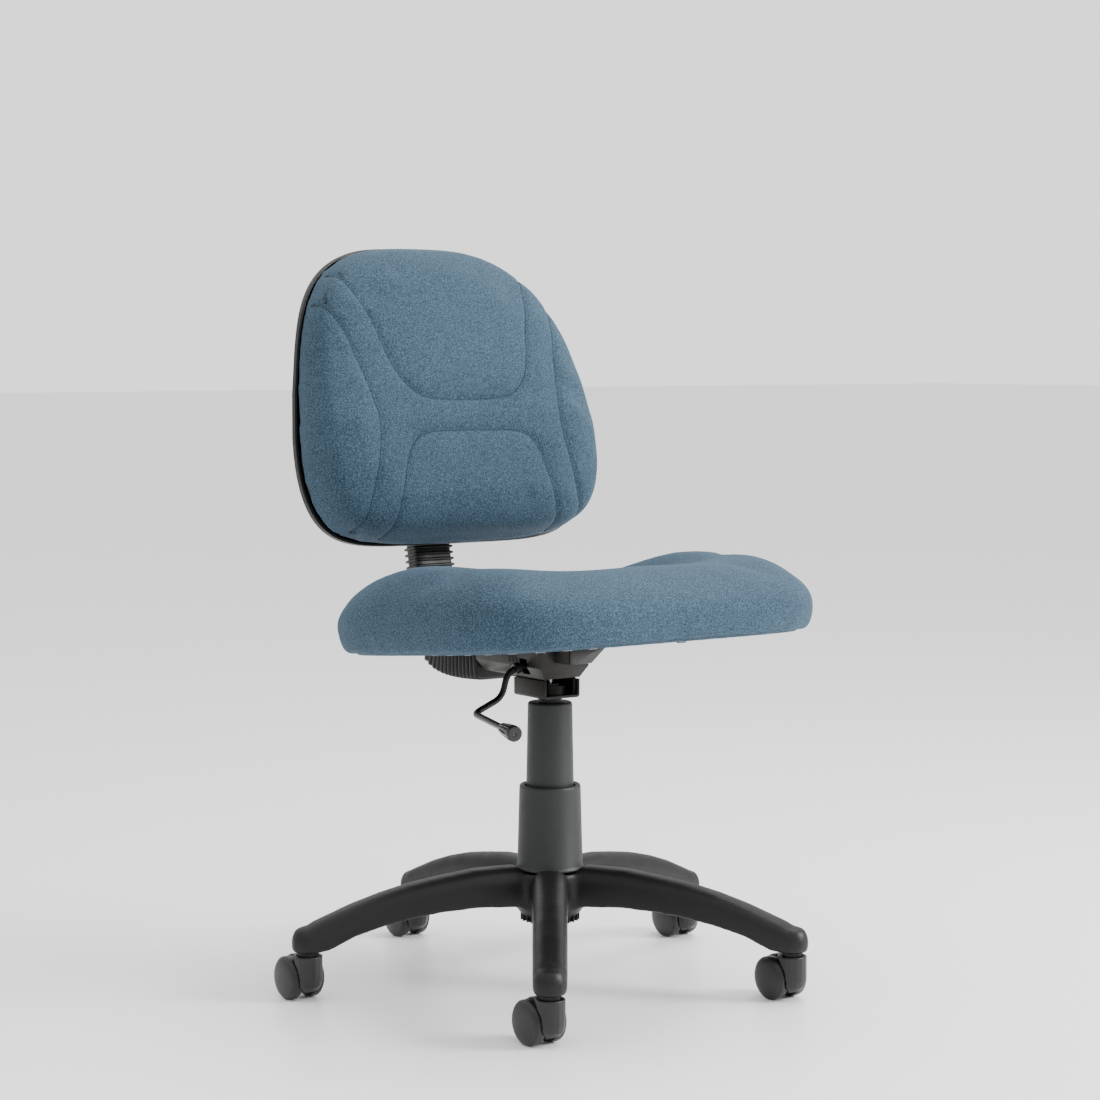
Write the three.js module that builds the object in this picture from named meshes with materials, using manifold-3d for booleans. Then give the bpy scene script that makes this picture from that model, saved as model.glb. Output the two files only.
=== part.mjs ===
// Armless swivel task chair: five-arm base on twin-wheel castors, gas-lift column with telescopic
// covers, tilt mechanism with a lift lever, J-bar in a rubber boot, contoured seat and low back.
// Millimetres, +Z up, the sitter faces -Y. Everything is laid out round the column axis, and the
// whole chair is then moved so that its footprint is centred on the origin.
import * as THREE from "three";
import { mergeVertices } from "three/addons/utils/BufferGeometryUtils.js";
import Module from "manifold-3d";

const wasm = await Module();
wasm.setup();

// ---------------------------------------------------------------- driving dimensions
const GAP = 0.3; // between pieces that touch
const RUNNING = 0.5; // radial, where one piece slides or turns in another
const THROUGH = 60; // reach of a cut that goes right through

const ARM_COUNT = 5;
const CASTOR_CIRCLE_R = 292; // column axis to castor stem
const ARM_HALF_WIDTH = 21; // beside the hub, narrowing to the boss radius
const BOSS_R = 19;
const BOSS_BOTTOM_Z = 57;
const HUB_R = 43;
const HUB_BOTTOM_Z = 71;
const HUB_TOP_Z = 137;
const HUB_FLOOR_Z = 122; // floor of the recess that the covers stand in

const WHEEL_R = 25;
const WHEEL_WIDTH = 15;
const WHEEL_SPREAD = 15.5; // hood centre plane to wheel centre plane
const CASTOR_TRAIL = 20;
const HOOD_NECK_R = 17;
const HOOD_RIB_R = WHEEL_R + 1.8; // the roof rib stands just proud of the wheels
const HOOD_TOP_Z = 53;
const HOOD_BOTTOM_Z = 13;
const AXLE_R = 4;
const STEM_R = 5.5;
const STEM_TOP_Z = 78;
const STEM_BOTTOM_Z = 32;
const COLLAR_R = 12; // of the stem, between the hood and the base
const MOUTH_DEPTH = 3; // recess in the top of the hood
const WEB_BELOW_AXLE = 12;

const TUBE_R = 24;
const TUBE_WALL = 2;
const TUBE_BOTTOM_Z = 72;
const TUBE_TOP_Z = 222;
const CYLINDER_R = 14;
const CYLINDER_BOTTOM_Z = 162;
const CYLINDER_TOP_Z = 356;
const CYLINDER_WALL = 3.5;
const PISTON_R = 5;
const PISTON_HEAD_R = CYLINDER_R - CYLINDER_WALL - 1.5;
const PISTON_TOP_Z = 248;
const VALVE_R = 3;
const VALVE_TOP_Z = 366;

const LOWER_COVER = { topR: 36.2, bottomR: 38.4, lipR: 40.2, topZ: 236.5, wall: 2.5 };
const UPPER_COVER = { topR: 26.2, bottomR: 28.6, topZ: 334, bottomZ: 204, wall: 1.5 };

const BRACKET = { halfX: 25.5, frontY: -24, rearY: 37, bottomZ: 340, topZ: 361.5, wall: 3, corner: 3.5 };
const EAR = { setBack: 4, topZ: 386, inset: 0.2 };
const SOCKET = { wall: 4, topZ: 354 }; // round the top of the gas cylinder
const TILT_PIVOT = { y: 30, z: 372 };
const TILT_PIN_R = 5;

const SEAT_PITCH = THREE.MathUtils.degToRad(5.5); // the seat slopes down towards the back
const SEAT_UNDERSIDE_Z = 402.5; // underside of the seat pad at the column axis
const SEAT = { halfWidth: 250, depth: 450, centreY: -47 };
const BOARD_THICKNESS = 10;
const BOARD_RECESS = 2; // board underside above the pad's lowest edge
const BOARD_SCALE = 0.9;
const BOARD_INNER_SCALE = 0.5; // the flat border of the board, clear of the mechanism's plate

const J_BAR = { halfWidth: 21, thickness: 6 };
const BAR_SLOT_PLAY = 1; // beside and below the J-bar where it leaves the housing
const HOUSING = {
  throatHalfX: J_BAR.halfWidth + 4.5,
  halfX: J_BAR.halfWidth + 13,
  bottomZ: 363.5,
  shoulderZ: 377,
  rearY: 104,
  frontY: -30,
  wall: 2.5,
};
const PLATE = { halfX: 115, frontY: -135, rearY: 78, thickness: 3 };
const SEAT_BOLT = { x: 100, frontY: -121, rearY: 61, headR: 8, headHeight: 5, shankR: 3.8 };
const NOSE = { halfX: 14.5, frontY: -57, bottomZ: 383.5 };
const SPRING_BOX = {
  halfX: NOSE.halfX,
  bottomZ: NOSE.bottomZ + 0.5,
  frontY: NOSE.frontY - GAP,
  thickness: 5,
  flareX: HOUSING.halfX,
  flareZ: 400,
};

const CLAMP_BOLT = { y: 72, bottomZ: 357, topZ: 384, headR: 8, headHeight: 5, shankR: 4.6, nutR: 7.5 };
const CLAMP_HOLE_R = 5;

const LEVER_R = 3.75;
const LEVER_PIVOT = { y: 6, z: 374 }; // where the rod passes the bracket's ear
const LEVER_PLAY = 1.6;
const LEVER_SLOT = { x: 20, y0: -1, y1: 14, z0: 367.5, z1: 386 };
const LEVER_BEND_R = 11;
const KNOB = { length: 34, rootR: 5.5, endR: 8.5 };

const BOOT = { halfWidth: J_BAR.halfWidth + 5.5, halfDepth: 12.5, rib: 3, pitch: 12, wall: 2 };
const SEAT_BOOT_EXTRA = 3; // the stretch under the seat is deeper
const BOOT_TOP = 60; // where the upper boot ends inside the shell, in the back's frame
const CARRIAGE = { bottom: 66, top: 165, wall: 4 };
const BACK_LEAN = THREE.MathUtils.degToRad(11.5);
const BACK_SETBACK = 79.5; // from the rear of the seat
// A point on the upright, where the back's own frame stands.
const BACK_PIVOT = { y: SEAT.centreY + SEAT.depth / 2 + BACK_SETBACK, z: 495 };
const BEND_PULL = { y: BACK_PIVOT.y - 25.5, z: 356 }; // pulls the J-bar's bend low
const BAR_TOP = 165; // top of the upright in the back's frame
const BACK = {
  halfWidth: 201,
  bottom: 2,
  top: 379.5,
  rimY: -49,
  shellDepth: 78,
  crown: 72,
  lumbar: 5,
  sweep: 36,
};
const BACK_BOARD_THICKNESS = 8;
const SHELL_WALL = 3;
const SHELL_RIM = 7; // how far the shell's lip reaches forward over the board

// ---------------------------------------------------------------- materials
const finish = (color, roughness, metalness = 0) =>
  new THREE.MeshStandardMaterial({ color, roughness, metalness });
const MATERIALS = {
  nylon: finish(0x2b2b2d, 0.55),
  coverPlastic: finish(0x3a3c3c, 0.6),
  shellPlastic: finish(0x2a2b2c, 0.5),
  wheelPlastic: finish(0x2c2b2c, 0.45),
  blackPaint: finish(0x37352f, 0.4, 0.3),
  blackPlastic: finish(0x151515, 0.4),
  zinc: finish(0xb9bcbf, 0.35, 1),
  brass: finish(0xa67c3a, 0.4, 1),
  chrome: finish(0xd0d2d4, 0.15, 1),
  steelTube: finish(0x2f3031, 0.4, 0.6),
  rubber: finish(0x1d1c1c, 0.75),
  fabric: finish(0x4f6f85, 0.9),
  plywood: finish(0x2e2823, 0.8),
};

// ---------------------------------------------------------------- geometry helpers
// Faces of a closed geometry turned outwards, with only its positions kept.
function outward(geometry) {
  const bare = geometry.index ? geometry.toNonIndexed() : geometry.clone();
  const shape = mergeVertices(
    new THREE.BufferGeometry().setAttribute("position", bare.getAttribute("position")), 1e-4);
  const p = shape.getAttribute("position");
  const corner = (i) => new THREE.Vector3().fromBufferAttribute(p, i);
  const kept = [];
  let volume = 0;
  for (let i = 0; i < shape.index.count; i += 3) {
    const [a, b, c] = [0, 1, 2].map((k) => shape.index.getX(i + k));
    if (a === b || b === c || c === a) continue;
    kept.push([a, b, c]);
    volume += corner(a).dot(corner(b).cross(corner(c)));
  }
  shape.setIndex((volume < 0 ? kept.map(([a, b, c]) => [a, c, b]) : kept).flat());
  return shape;
}

function solidOf(geometry) {
  const shape = outward(geometry);
  return new wasm.Manifold(new wasm.Mesh({
    numProp: 3,
    vertProperties: new Float32Array(shape.getAttribute("position").array),
    triVerts: new Uint32Array(shape.index.array),
  }));
}

function geometryOf(solid) {
  const mesh = solid.getMesh();
  return new THREE.BufferGeometry()
    .setAttribute("position", new THREE.BufferAttribute(mesh.vertProperties, 3))
    .setIndex(new THREE.BufferAttribute(mesh.triVerts, 1));
}

const join = (...parts) => geometryOf(parts.map(solidOf).reduce((a, b) => a.add(b)));
const cut = (body, ...tools) =>
  geometryOf(tools.map(solidOf).reduce((a, b) => a.subtract(b), solidOf(body)));

// A turned solid on the Z axis from [radius, z] pairs; the profile closes on itself.
function turned(profile, segments = 24) {
  const points = [...profile, profile[0]].map(([r, z]) => new THREE.Vector2(r, z));
  return outward(new THREE.LatheGeometry(points, segments).rotateX(Math.PI / 2));
}

const rod = (radius, z0, z1, segments = 16) =>
  turned([[0, z0], [radius, z0], [radius, z1], [0, z1]], segments);
const ring = (inner, outer, z0, z1, segments = 24) =>
  turned([[inner, z0], [outer, z0], [outer, z1], [inner, z1]], segments);
const block = (x0, x1, y0, y1, z0, z1) =>
  new THREE.BoxGeometry(x1 - x0, y1 - y0, z1 - z0).translate((x0 + x1) / 2, (y0 + y1) / 2, (z0 + z1) / 2);

// A rod of the given radius along X.
const crossRod = (radius, x0, x1, y, z, segments = 16) =>
  rod(radius, x0, x1, segments).rotateY(Math.PI / 2).translate(0, y, z);

// A solid through equal-length loops of points: open lofts get flat caps, closed ones meet themselves.
function loft(loops, closed = false) {
  const count = loops[0].length;
  const points = loops.flat();
  const faces = [];
  const spans = closed ? loops.length : loops.length - 1;
  for (let i = 0; i < spans; i++)
    for (let j = 0; j < count; j++) {
      const [a, b] = [i * count + j, i * count + ((j + 1) % count)];
      const next = ((i + 1) % loops.length) * count;
      const [c, d] = [next + ((j + 1) % count), next + j];
      faces.push(a, b, c, a, c, d);
    }
  if (!closed)
    for (const [start, flip] of [[0, true], [(loops.length - 1) * count, false]]) {
      const loop = points.slice(start, start + count);
      const middle = loop.reduce((sum, p) => sum.clone().add(p)).divideScalar(count);
      points.push(middle);
      const hub = points.length - 1;
      for (let j = 0; j < count; j++) {
        const [a, b] = [start + j, start + ((j + 1) % count)];
        faces.push(hub, ...(flip ? [b, a] : [a, b]));
      }
    }
  const shape = new THREE.BufferGeometry().setFromPoints(points);
  shape.setIndex(faces);
  return outward(shape);
}

// A solid between two level rectangles; each is { x, y0, y1, z0, z1 } with z0 at y0 and z1 at y1.
function taperedBlock(lower, upper) {
  const rectangle = ({ x, y0, y1, z0, z1 = z0 }) => [
    new THREE.Vector3(-x, y0, z0), new THREE.Vector3(x, y0, z0),
    new THREE.Vector3(x, y1, z1), new THREE.Vector3(-x, y1, z1)];
  return loft([rectangle(lower), rectangle(upper)]);
}

const signedPower = (value, power) => Math.sign(value) * Math.abs(value) ** power;

// Points of a rectangle with corners rounded as a superellipse, in its own plane.
function roundedLoop(halfA, halfB, sides, place, squareness = 5) {
  return Array.from({ length: sides }, (_, j) => {
    const angle = ((j + 0.5) * 2 * Math.PI) / sides;
    return place(
      halfA * signedPower(Math.cos(angle), 2 / squareness),
      halfB * signedPower(Math.sin(angle), 2 / squareness));
  });
}

// A path of straight runs with rounded corners.
function bentPath(points, radius) {
  const path = new THREE.CurvePath();
  let from = points[0];
  for (let i = 1; i < points.length - 1; i++) {
    const [before, corner, after] = [points[i - 1], points[i], points[i + 1]];
    const reach = Math.min(radius, corner.distanceTo(before) / 2.1, corner.distanceTo(after) / 2.1);
    const start = corner.clone().add(before.clone().sub(corner).setLength(reach));
    const end = corner.clone().add(after.clone().sub(corner).setLength(reach));
    path.add(new THREE.LineCurve3(from, start));
    path.add(new THREE.QuadraticBezierCurve3(start, corner, end));
    from = end;
  }
  path.add(new THREE.LineCurve3(from, points.at(-1)));
  return path;
}

function wire(path, radius, steps, sides = 8) {
  const section = new THREE.Shape().absarc(0, 0, radius, 0, 2 * Math.PI);
  return outward(new THREE.ExtrudeGeometry(section, {
    steps, curveSegments: sides / 2, bevelEnabled: false, extrudePath: path }));
}

// ---------------------------------------------------------------- scene helpers
const chair = new THREE.Group();
const seatFrame = new THREE.Group(); // underside of the seat pad, pitched with it
seatFrame.position.set(0, 0, SEAT_UNDERSIDE_Z);
seatFrame.rotation.x = -SEAT_PITCH;
const backFrame = new THREE.Group(); // on the upright, leaning with it
backFrame.position.set(0, BACK_PIVOT.y, BACK_PIVOT.z);
backFrame.rotation.x = -BACK_LEAN;
chair.add(seatFrame, backFrame);

function place(name, geometry, material, parent = chair) {
  const mesh = new THREE.Mesh(geometry, material);
  mesh.name = name;
  parent.add(mesh);
  return mesh;
}

const underseatZ = (y) => SEAT_UNDERSIDE_Z - y * Math.tan(SEAT_PITCH);

// ---------------------------------------------------------------- base
// Top and bottom of an arm at a distance from the column, as fractions of the castor circle.
const ARM_TOP = [
  [0, 143], [0.15, 143], [0.32, 141], [0.46, 135], [0.64, 126], [0.82, 109], [0.94, 95], [1, 88]];
const ARM_BOTTOM = [
  [0, 93], [0.22, 96], [0.32, 97], [0.51, 94], [0.68, 85], [0.82, 73.5], [0.94, BOSS_BOTTOM_Z]];

function heightAt(table, t) {
  const next = table.findIndex(([at]) => at >= t);
  if (next < 0) return table.at(-1)[1];
  if (next === 0) return table[0][1];
  const [[a, za], [b, zb]] = [table[next - 1], table[next]];
  return THREE.MathUtils.lerp(za, zb, (t - a) / (b - a));
}

const ARM_STATIONS = [0.06, 0.2, 0.32, 0.46, 0.58, 0.7, 0.82, 0.92, 0.985];

function baseArm() {
  const taper = (t) => THREE.MathUtils.lerp(ARM_HALF_WIDTH, BOSS_R, t);
  const loops = ARM_STATIONS.map((t) => {
    const [top, bottom] = [heightAt(ARM_TOP, t), heightAt(ARM_BOTTOM, t)];
    const half = taper(t);
    const section = [[-0.93, 0], [-1, 0.3], [-1, 0.62], [-0.8, 0.88], [-0.42, 1],
      [0.42, 1], [0.8, 0.88], [1, 0.62], [1, 0.3], [0.93, 0]];
    return section.map(([across, up]) => new THREE.Vector3(
      t * CASTOR_CIRCLE_R, across * half, THREE.MathUtils.lerp(bottom, top, up)));
  });
  const tipTop = heightAt(ARM_TOP, 1);
  const boss = turned([[0, BOSS_BOTTOM_Z], [BOSS_R - 2, BOSS_BOTTOM_Z], [BOSS_R, BOSS_BOTTOM_Z + 3],
    [BOSS_R, tipTop - 14], [BOSS_R - 5, tipTop - 4], [0, tipTop]], 16)
    .translate(CASTOR_CIRCLE_R, 0, 0);
  return join(loft(loops), boss);
}

const armAngle = (k) => Math.PI / 2 + (k * 2 * Math.PI) / ARM_COUNT;

function starBase() {
  const hub = turned([[0, HUB_BOTTOM_Z], [26.5, HUB_BOTTOM_Z], [29, 76], [HUB_R - 6, 87], [HUB_R, 94],
    [HUB_R, HUB_TOP_Z - 4], [HUB_R - 2, HUB_TOP_Z], [0, HUB_TOP_Z]], 30);
  const arms = Array.from({ length: ARM_COUNT }, (_, k) => baseArm().rotateZ(armAngle(k)));
  const body = join(hub, ...arms);
  const recess = rod(LOWER_COVER.lipR - 3, HUB_FLOOR_Z, 200, 30);
  const lipSeat = rod(LOWER_COVER.lipR + RUNNING, HUB_TOP_Z, 200, 30);
  const columnBore = rod(TUBE_R + GAP, 0, 200, 20);
  const sockets = Array.from({ length: ARM_COUNT }, (_, k) =>
    rod(STEM_R + GAP, 0, STEM_TOP_Z + GAP, 10).translate(CASTOR_CIRCLE_R, 0, 0).rotateZ(armAngle(k)));
  return cut(body, recess, lipSeat, columnBore, ...sockets);
}
place("star_base", starBase(), MATERIALS.nylon);

// ---------------------------------------------------------------- castors
const axleZ = WHEEL_R;

function wheel(side) {
  const half = WHEEL_WIDTH / 2;
  const bore = AXLE_R + RUNNING;
  // Profile along the axle: flat towards the hood, domed on the outside.
  return turned([[bore, -half], [WHEEL_R - 1, -half], [WHEEL_R, -half + 1.5], [WHEEL_R, half - 5],
    [WHEEL_R - 2.5, half - 1.8], [WHEEL_R - 9, half - 0.4],
    [0, half], [0, half - 3], [bore, half - 3]], 20)
    .rotateY(side * Math.PI / 2)
    .translate(side * WHEEL_SPREAD, CASTOR_TRAIL, axleZ);
}

function castorHood() {
  const webHalf = WHEEL_SPREAD - WHEEL_WIDTH / 2 - RUNNING;
  const clearR = WHEEL_R + 1.2;
  const neck = turned([[0, HOOD_BOTTOM_Z], [HOOD_NECK_R - 6, HOOD_BOTTOM_Z],
    [HOOD_NECK_R - 1.5, HOOD_BOTTOM_Z + 5], [HOOD_NECK_R, HOOD_BOTTOM_Z + 12],
    [HOOD_NECK_R, HOOD_TOP_Z], [0, HOOD_TOP_Z]], 16);
  const web = crossRod(HOOD_RIB_R, -webHalf, webHalf, CASTOR_TRAIL, axleZ, 20);
  const roof = block(-webHalf, webHalf, 0, CASTOR_TRAIL, axleZ + 4, axleZ + HOOD_RIB_R - 0.4);
  const inner = webHalf - 0.01;
  const wheelSpace = [-1, 1].map((side) =>
    crossRod(clearR, side * inner, side * THROUGH, CASTOR_TRAIL, axleZ, 20));
  const stemBore = rod(STEM_R + RUNNING, STEM_BOTTOM_Z - 2, HOOD_TOP_Z + 1, 10);
  const mouth = rod(HOOD_NECK_R - MOUTH_DEPTH, HOOD_TOP_Z - MOUTH_DEPTH, HOOD_TOP_Z + 1, 16);
  const axleBore = crossRod(AXLE_R + GAP, -THROUGH, THROUGH, CASTOR_TRAIL, axleZ, 10);
  const floorCut = block(-webHalf - 1, webHalf + 1, -1, THROUGH, -THROUGH, axleZ - WEB_BELOW_AXLE);
  return cut(join(neck, web, roof), ...wheelSpace, stemBore, mouth, axleBore, floorCut);
}

function castor(index) {
  const name = (piece) => `castor_${index}_${piece}`;
  const angle = armAngle(index - 1);
  const group = new THREE.Group();
  group.position.set(CASTOR_CIRCLE_R * Math.cos(angle), CASTOR_CIRCLE_R * Math.sin(angle), 0);
  chair.add(group);
  const collarZ = HOOD_TOP_Z - MOUTH_DEPTH + GAP;
  const stem = turned([[0, STEM_BOTTOM_Z], [STEM_R, STEM_BOTTOM_Z], [STEM_R, collarZ], [COLLAR_R, collarZ],
    [COLLAR_R, BOSS_BOTTOM_Z - GAP], [STEM_R, BOSS_BOTTOM_Z - GAP], [STEM_R, STEM_TOP_Z - 2],
    [STEM_R - 1.5, STEM_TOP_Z], [0, STEM_TOP_Z]], 10);
  place(name("stem"), stem, MATERIALS.zinc, group);
  place(name("hood"), castorHood(), MATERIALS.wheelPlastic, group);
  const axleHalf = WHEEL_SPREAD + WHEEL_WIDTH / 2 - 3 - RUNNING;
  place(name("axle"), crossRod(AXLE_R, -axleHalf, axleHalf, CASTOR_TRAIL, axleZ, 10), MATERIALS.zinc, group);
  place(name("wheel_right"), wheel(-1), MATERIALS.wheelPlastic, group);
  place(name("wheel_left"), wheel(1), MATERIALS.wheelPlastic, group);
}
for (let k = 1; k <= ARM_COUNT; k++) castor(k);

// ---------------------------------------------------------------- column
const tubeInnerR = TUBE_R - TUBE_WALL;
const tubeFloorZ = TUBE_BOTTOM_Z + 3;
place("column_tube", turned([[PISTON_R + RUNNING, TUBE_BOTTOM_Z], [TUBE_R, TUBE_BOTTOM_Z],
  [TUBE_R, TUBE_TOP_Z], [tubeInnerR, TUBE_TOP_Z], [tubeInnerR, tubeFloorZ],
  [PISTON_R + RUNNING, tubeFloorZ]], 20), MATERIALS.steelTube);
place("guide_bush", ring(CYLINDER_R + RUNNING, tubeInnerR - GAP, 150, TUBE_TOP_Z - 1, 20), MATERIALS.nylon);
place("thrust_bearing", ring(PISTON_R + RUNNING, 13, tubeFloorZ + GAP, tubeFloorZ + 5, 16), MATERIALS.zinc);
const neckR = 3.6;
place("piston_rod", turned([[0, 62], [neckR, 62], [neckR, 64], [neckR - 1, 64], [neckR - 1, 66],
  [PISTON_R, 66], [PISTON_R, PISTON_TOP_Z - 8], [PISTON_HEAD_R, PISTON_TOP_Z - 8],
  [PISTON_HEAD_R, PISTON_TOP_Z], [0, PISTON_TOP_Z]], 12), MATERIALS.chrome);
place("rod_clip", ring(neckR - 1 + GAP, 7.5, 64 + GAP, 66 - GAP, 12), MATERIALS.zinc);

const valveBore = VALVE_R + RUNNING;
const cylinderBore = CYLINDER_R - CYLINDER_WALL;
place("gas_cylinder", turned([[PISTON_R + RUNNING, CYLINDER_BOTTOM_Z], [CYLINDER_R, CYLINDER_BOTTOM_Z],
  [CYLINDER_R, 344], [CYLINDER_R - 1.5, CYLINDER_TOP_Z], [valveBore, CYLINDER_TOP_Z], [valveBore, 342],
  [cylinderBore, 342], [cylinderBore, CYLINDER_BOTTOM_Z + 6],
  [PISTON_R + RUNNING, CYLINDER_BOTTOM_Z + 6]], 16), MATERIALS.zinc);
place("valve_button", turned([[0, 345], [VALVE_R, 345], [VALVE_R, VALVE_TOP_Z - 1],
  [VALVE_R - 1, VALVE_TOP_Z], [0, VALVE_TOP_Z]], 12), MATERIALS.zinc);

function lowerCover() {
  const { topR, bottomR, lipR, topZ, wall } = LOWER_COVER;
  const bottomZ = HUB_TOP_Z + GAP;
  return turned([[bottomR - wall, bottomZ], [lipR, bottomZ], [lipR, bottomZ + 2], [bottomR, bottomZ + 4],
    [topR, topZ - 3], [topR - 1, topZ - 0.8], [topR - 3, topZ], [UPPER_COVER.bottomR + 1.6, topZ - 1.5],
    [UPPER_COVER.bottomR + 1.6, topZ - 4], [topR - wall, topZ - 5]], 28);
}
place("lower_cover", lowerCover(), MATERIALS.coverPlastic);

function upperCover() {
  const { topR, bottomR, topZ, bottomZ, wall } = UPPER_COVER;
  return turned([[bottomR - wall, bottomZ], [bottomR, bottomZ], [topR, topZ - 3], [topR - 2.5, topZ],
    [CYLINDER_R + RUNNING, topZ], [CYLINDER_R + RUNNING, topZ - 3], [topR - wall, topZ - 4]], 24);
}
place("upper_cover", upperCover(), MATERIALS.coverPlastic);

// ---------------------------------------------------------------- column bracket and tilt pin
// A block between two distances from the centre plane, on the given side.
const sideBlock = (side, x0, x1, ...rest) =>
  block(Math.min(side * x0, side * x1), Math.max(side * x0, side * x1), ...rest);

function columnBracket() {
  const { halfX, frontY, rearY, bottomZ, topZ, wall, corner } = BRACKET;
  const floorZ = bottomZ + wall;
  const outline = new THREE.Shape();
  outline.moveTo(-halfX, topZ).lineTo(-halfX, bottomZ + corner)
    .absarc(-halfX + corner, bottomZ + corner, corner, Math.PI, 1.5 * Math.PI)
    .absarc(halfX - corner, bottomZ + corner, corner, 1.5 * Math.PI, 2 * Math.PI).lineTo(halfX, topZ);
  const box = new THREE.ExtrudeGeometry(outline,
    { depth: rearY - frontY, curveSegments: 3, bevelEnabled: false })
    .rotateX(Math.PI / 2).translate(0, rearY, 0);
  const inside = block(-halfX + wall, halfX - wall, frontY - 1, rearY - wall, floorZ, topZ + 1);
  const earOut = halfX - wall - EAR.inset;
  const earFront = frontY + EAR.setBack;
  const ears = [-1, 1].map((side) =>
    sideBlock(side, earOut - wall, earOut, earFront, rearY, floorZ - 1, EAR.topZ));
  const shoulders = [-1, 1].map((side) =>
    sideBlock(side, earOut - 1, halfX - 1, earFront, rearY, topZ - wall, topZ));
  const link = block(-halfX + 1, halfX - 1, rearY - wall, rearY, bottomZ + 1, topZ);
  const socket = rod(CYLINDER_R + SOCKET.wall, bottomZ + 1, SOCKET.topZ, 16);
  const cylinderHole = rod(CYLINDER_R + GAP, bottomZ - THROUGH, bottomZ + THROUGH, 16);
  const pinHole = crossRod(TILT_PIN_R + GAP, -THROUGH, THROUGH, TILT_PIVOT.y, TILT_PIVOT.z, 12);
  const leverHole = crossRod(LEVER_R + LEVER_PLAY, -THROUGH, 0, LEVER_PIVOT.y, LEVER_PIVOT.z, 12);
  return cut(join(cut(box, inside), ...ears, link, ...shoulders, socket),
    cylinderHole, pinHole, leverHole);
}
place("column_bracket", columnBracket(), MATERIALS.blackPaint);
const pinHalf = HOUSING.halfX - 2;
place("tilt_pin", crossRod(TILT_PIN_R, -pinHalf, pinHalf, TILT_PIVOT.y, TILT_PIVOT.z, 12),
  MATERIALS.zinc);
const SLEEVE = { radius: 9, halfLength: 17 };
place("torsion_sleeve", ring(TILT_PIN_R + RUNNING, SLEEVE.radius, -SLEEVE.halfLength, SLEEVE.halfLength, 16)
  .rotateY(Math.PI / 2).translate(0, TILT_PIVOT.y, TILT_PIVOT.z), MATERIALS.rubber);

// ---------------------------------------------------------------- lever
const leverRoute = [
  [0, 0, 370.5], [-17, 5, 372.5], [-33, 7, 378.5], [-56, 7, 371.5], [-64, 7, 343], [-103, 7, 327],
].map((p) => new THREE.Vector3(...p));
const knobTip = new THREE.Vector3(-138, -124, 322);
const lastRun = knobTip.clone().sub(leverRoute.at(-1));
const knobRoot = knobTip.clone().sub(lastRun.clone().setLength(KNOB.length));
const leverEnd = knobTip.clone().sub(lastRun.clone().setLength(6));
place("lever_rod", wire(bentPath([...leverRoute, leverEnd], LEVER_BEND_R), LEVER_R, 34),
  MATERIALS.steelTube);

// A turned piece on the line from one point towards another.
function along(geometry, from, to) {
  const run = to.clone().sub(from).normalize();
  const turn = new THREE.Quaternion().setFromUnitVectors(new THREE.Vector3(0, 0, 1), run);
  return geometry.applyQuaternion(turn).translate(...from.toArray());
}
const knobBore = LEVER_R + GAP;
place("lever_knob", along(turned([[knobBore, 0], [KNOB.rootR, 0], [KNOB.rootR + 0.8, 4],
  [KNOB.endR, KNOB.length - 7], [KNOB.endR, KNOB.length - 2], [KNOB.endR - 1.6, KNOB.length],
  [0, KNOB.length], [0, KNOB.length - 5], [knobBore, KNOB.length - 5]], 16), knobRoot, knobTip),
  MATERIALS.blackPlastic);
const COLLAR = { radius: 6.5, length: 7, start: 0.3 }; // start is a share of the run that it sits on
const collarFrom = leverRoute[2].clone().lerp(leverRoute[3], COLLAR.start);
place("lever_collar", along(ring(LEVER_R + RUNNING, COLLAR.radius, 0, COLLAR.length, 14),
  collarFrom, leverRoute[3]), MATERIALS.blackPlastic);

// ---------------------------------------------------------------- tilt housing and spring box
const plateTop = BOARD_RECESS - GAP;
const plateBottom = plateTop - PLATE.thickness;
const inSeatFrame = (geometry) =>
  geometry.rotateX(-SEAT_PITCH).translate(0, 0, SEAT_UNDERSIDE_Z);

const boltPlaces = [-1, 1].flatMap((side) =>
  [SEAT_BOLT.frontY, SEAT_BOLT.rearY].map((y) => [side * SEAT_BOLT.x, y]));

const clampHole = () => rod(CLAMP_HOLE_R, 340, 385, 10).translate(0, CLAMP_BOLT.y, 0);

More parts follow.
